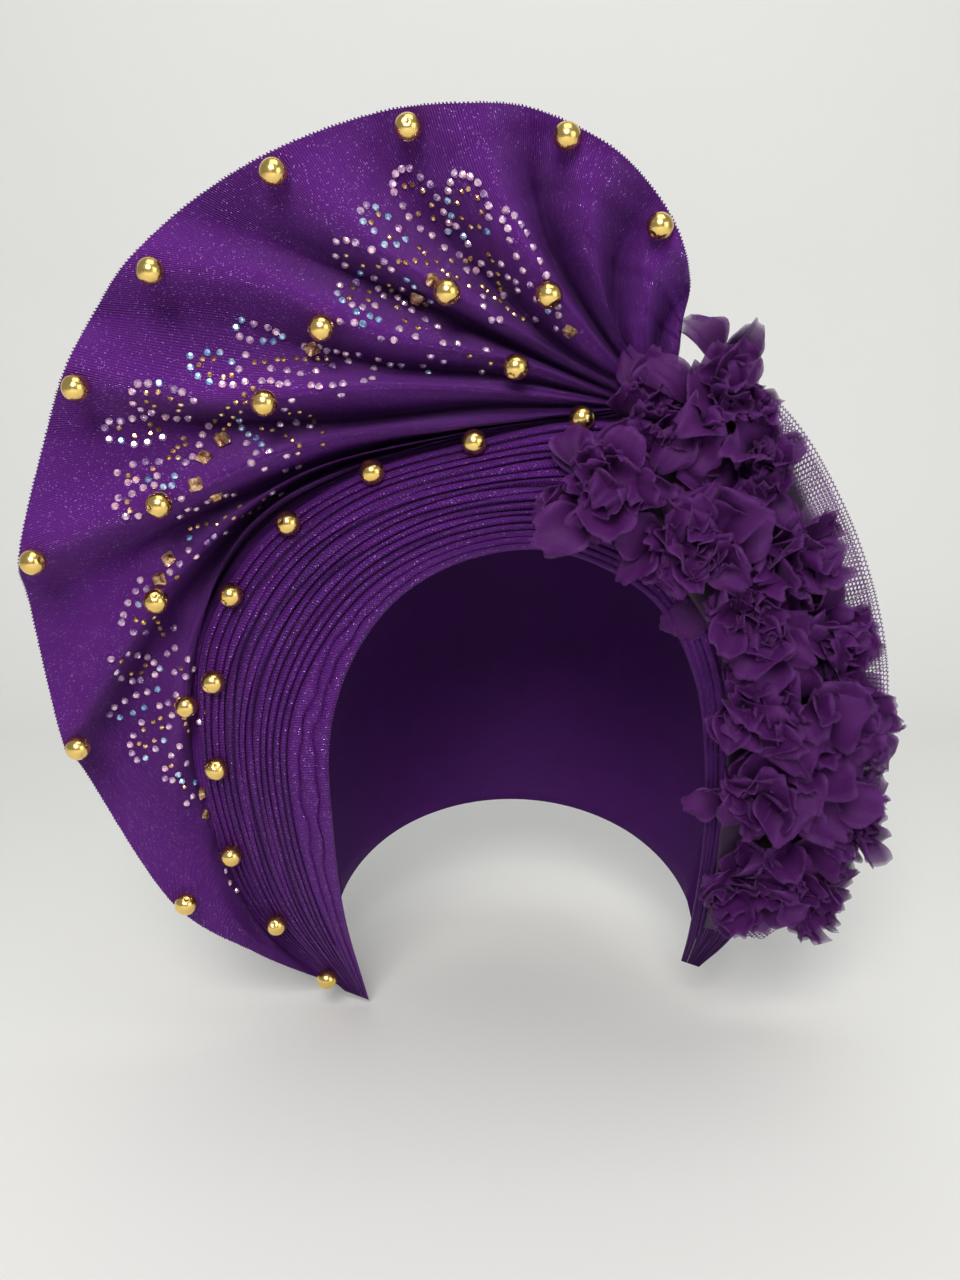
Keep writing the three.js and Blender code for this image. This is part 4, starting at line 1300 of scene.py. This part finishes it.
# %% [markdown]
# A stone that would overlap an earlier one was left out above. Each of the others has to lie on
# the cloth that the viewer sees at its place. A ray from the viewer finds that place and the
# way the cloth faces there. The search tree answers one ray at a time, so the rays go in a loop.

# %% Stones on the cloth
cloth_pieces = [fan, pleated_band]
tree_points, tree_faces, offset = [], [], 0
for piece in cloth_pieces:
    mesh = piece.data
    tree_points += [v.co.copy() for v in mesh.vertices]
    tree_faces += [[offset + i for i in polygon.vertices] for polygon in mesh.polygons]
    offset += len(mesh.vertices)
cloth_tree = BVHTree.FromPolygons(tree_points, tree_faces)

seen = np.stack([
    (pixels[:, 0] - FRAME_PIXELS[0] / 2) / PIXELS_PER_MM,
    (FRAME_PIXELS[1] / 2 - pixels[:, 1]) / PIXELS_PER_MM,
    np.zeros(len(pixels)),
], -1)
towards = place_seen(seen) - VIEWER * MM
towards /= np.linalg.norm(towards, axis=1, keepdims=True)
hits = [cloth_tree.ray_cast(Vector(VIEWER * MM), Vector(ray)) for ray in towards]
found = np.array([hit[0] is not None for hit in hits])
spots = np.array([hit[0][:] for hit in hits if hit[0] is not None])
normals = np.array([hit[1][:] for hit in hits if hit[0] is not None])
normals *= np.sign(-(normals * towards[found]).sum(1))[:, None]
kinds = kinds[found]
print("stones on the cloth:", len(spots), "of", len(pixels))


# %% Round stone meshes
STONE_LIFT = 0.2


def round_stones(name, spots, normals, radius):
    """Eight sides: a girdle, a smaller table at 0.62 of the radius, and a flat back."""
    turn = 2 * np.pi * np.arange(8) / 8
    girdle = np.stack([np.cos(turn), np.sin(turn), 0 * turn], -1)
    between = turn + np.pi / 8
    table = np.stack([0.58 * np.cos(between), 0.58 * np.sin(between), 0.62 + 0 * turn], -1)
    foot = girdle * [0.92, 0.92, 0] + [0, 0, -0.12]
    stone = np.concatenate([foot, girdle, table, [[0, 0, 0.62], [0, 0, -0.12]]])
    k = np.arange(8)
    n = (k + 1) % 8
    faces = np.concatenate([
        np.stack([k, n, n + 8], -1), np.stack([k, n + 8, k + 8], -1),
        np.stack([k + 8, n + 8, k + 16], -1), np.stack([n + 8, n + 16, k + 16], -1),
        np.stack([k + 16, n + 16, np.full(8, 24)], -1), np.stack([n, k, np.full(8, 25)], -1),
    ])
    side = np.cross(normals, [0, 0, 1])
    side /= np.linalg.norm(side, axis=1, keepdims=True)
    frames = np.stack([side, np.cross(normals, side), normals], 1)
    spin = np.random.default_rng(5).uniform(0, np.pi / 4, len(spots))
    cos, sin = np.cos(spin)[:, None], np.sin(spin)[:, None]
    turned = np.stack([
        stone[None, :, 0] * cos - stone[None, :, 1] * sin,
        stone[None, :, 0] * sin + stone[None, :, 1] * cos,
        np.broadcast_to(stone[None, :, 2], (len(spots), len(stone))),
    ], -1)
    placed = spots[:, None] + np.einsum("npi,nij->npj", turned * radius * MM, frames)
    placed = placed + normals[:, None] * STONE_LIFT * MM
    every = repeated(faces, len(stone), len(spots))
    return mesh_object(name, placed.reshape(-1, 3), every, smooth=False)


pale_stops = [
    (0.30, (0.17, 0.08, 0.30)),
    (0.42, (0.45, 0.27, 0.52)),
    (0.52, (0.74, 0.54, 0.70)),
    (0.64, (0.84, 0.46, 0.62)),
]
blue_stops = [
    (0.32, (0.06, 0.10, 0.34)),
    (0.45, (0.20, 0.40, 0.66)),
    (0.56, (0.62, 0.80, 0.90)),
    (0.66, (0.45, 0.30, 0.70)),
]
stone_finishes = [
    ("pale_stones", cut_stone("pale_crystal", pale_stops, 330.0, 0.55), "round_crystal"),
    ("blue_stones", cut_stone("blue_crystal", blue_stops, 330.0, 0.55), "round_crystal"),
    ("amber_stones", cut_stone("amber_crystal", amber_stops, 420.0, 0.8), "amber_crystal"),
]
for kind, (name, finish, record_slot) in enumerate(stone_finishes):
    of_kind = kinds == kind
    stones = round_stones(name, spots[of_kind], normals[of_kind], STONE_RADII[kind])
    wear(stones, finish)
    print(name, of_kind.sum())

# %% [markdown]
# ## Floor and light
# The head tie stands on a pale floor that curves up into a wall, so that no edge shows behind
# it. A broad soft lamp from the upper left, a weaker one from the right, one for the wall and
# a pale sky give the even light of a bright room.


# %% Floor and wall
def curved_backdrop(name, floor_up, front, back, wide, tall, bend):
    """A profile of floor, quarter circle and wall, carried along X."""
    turn = np.linspace(0, np.pi / 2, 16)
    arc = np.stack([back - bend + bend * np.sin(turn), floor_up + bend - bend * np.cos(turn)], -1)
    profile = np.concatenate([[[front, floor_up]], arc, [[back, floor_up + tall]]])
    x = np.linspace(-wide, wide, 3)
    grid = np.stack([
        np.broadcast_to(x[:, None], (3, len(profile))),
        np.broadcast_to(profile[:, 0], (3, len(profile))),
        np.broadcast_to(profile[:, 1], (3, len(profile))),
    ], -1)
    faces = grid_cells(np.arange(grid[..., 0].size).reshape(grid.shape[:2]))
    mesh = bpy.data.meshes.new(name)
    mesh.from_pydata(grid.reshape(-1, 3).tolist(), [], faces.tolist())
    mesh.polygons.foreach_set("use_smooth", np.full(len(faces), True))
    return linked(name, mesh)


FLOOR_GAP = 0.0005
floor_up = cad_box[0][2] - FLOOR_GAP
backdrop = curved_backdrop("backdrop", floor_up, -1.6, 0.75, 2.2, 2.0, 0.35)
paint = Finish("pale_paint")
mottle = paint.noise(3.0, 4.0)
backdrop.data.materials.append(paint.finished(
    Base_Color=paint.mix(mottle, (0.70, 0.70, 0.68, 1), (0.75, 0.75, 0.73, 1)),
    Roughness=0.9,
))
print("floor at", round(floor_up, 4))


# %% Light
def soft_lamp(name, place, aim, size, watts, colour):
    """A square area lamp that looks from place to aim."""
    data = bpy.data.lights.new(name, "AREA")
    data.size = size
    data.energy = watts
    data.color = colour
    lamp = linked(name, data)
    lamp.location = place
    direction = Vector(aim) - Vector(place)
    lamp.rotation_euler = direction.to_track_quat("-Z", "Y").to_euler()


soft_lamp("key_lamp", (-0.15, -1.25, 0.75), (-0.02, -0.05, -0.03), 0.55, 19.5, (1.0, 0.98, 0.95))
soft_lamp("fill_lamp", (1.1, -1.0, 0.25), (0, -0.05, -0.05), 0.9, 4, (0.95, 0.97, 1.0))
soft_lamp("wall_lamp", (0.1, -0.3, 1.4), (0, 0.6, 0.1), 1.0, 7, (1.0, 1.0, 1.0))
world = bpy.data.worlds.new("room")
world.use_nodes = True
world.node_tree.nodes["Background"].inputs[0].default_value = (0.93, 0.95, 1.0, 1)
world.node_tree.nodes["Background"].inputs[1].default_value = 0.30
bpy.context.scene.world = world
bpy.context.scene.view_settings.view_transform = "Standard"
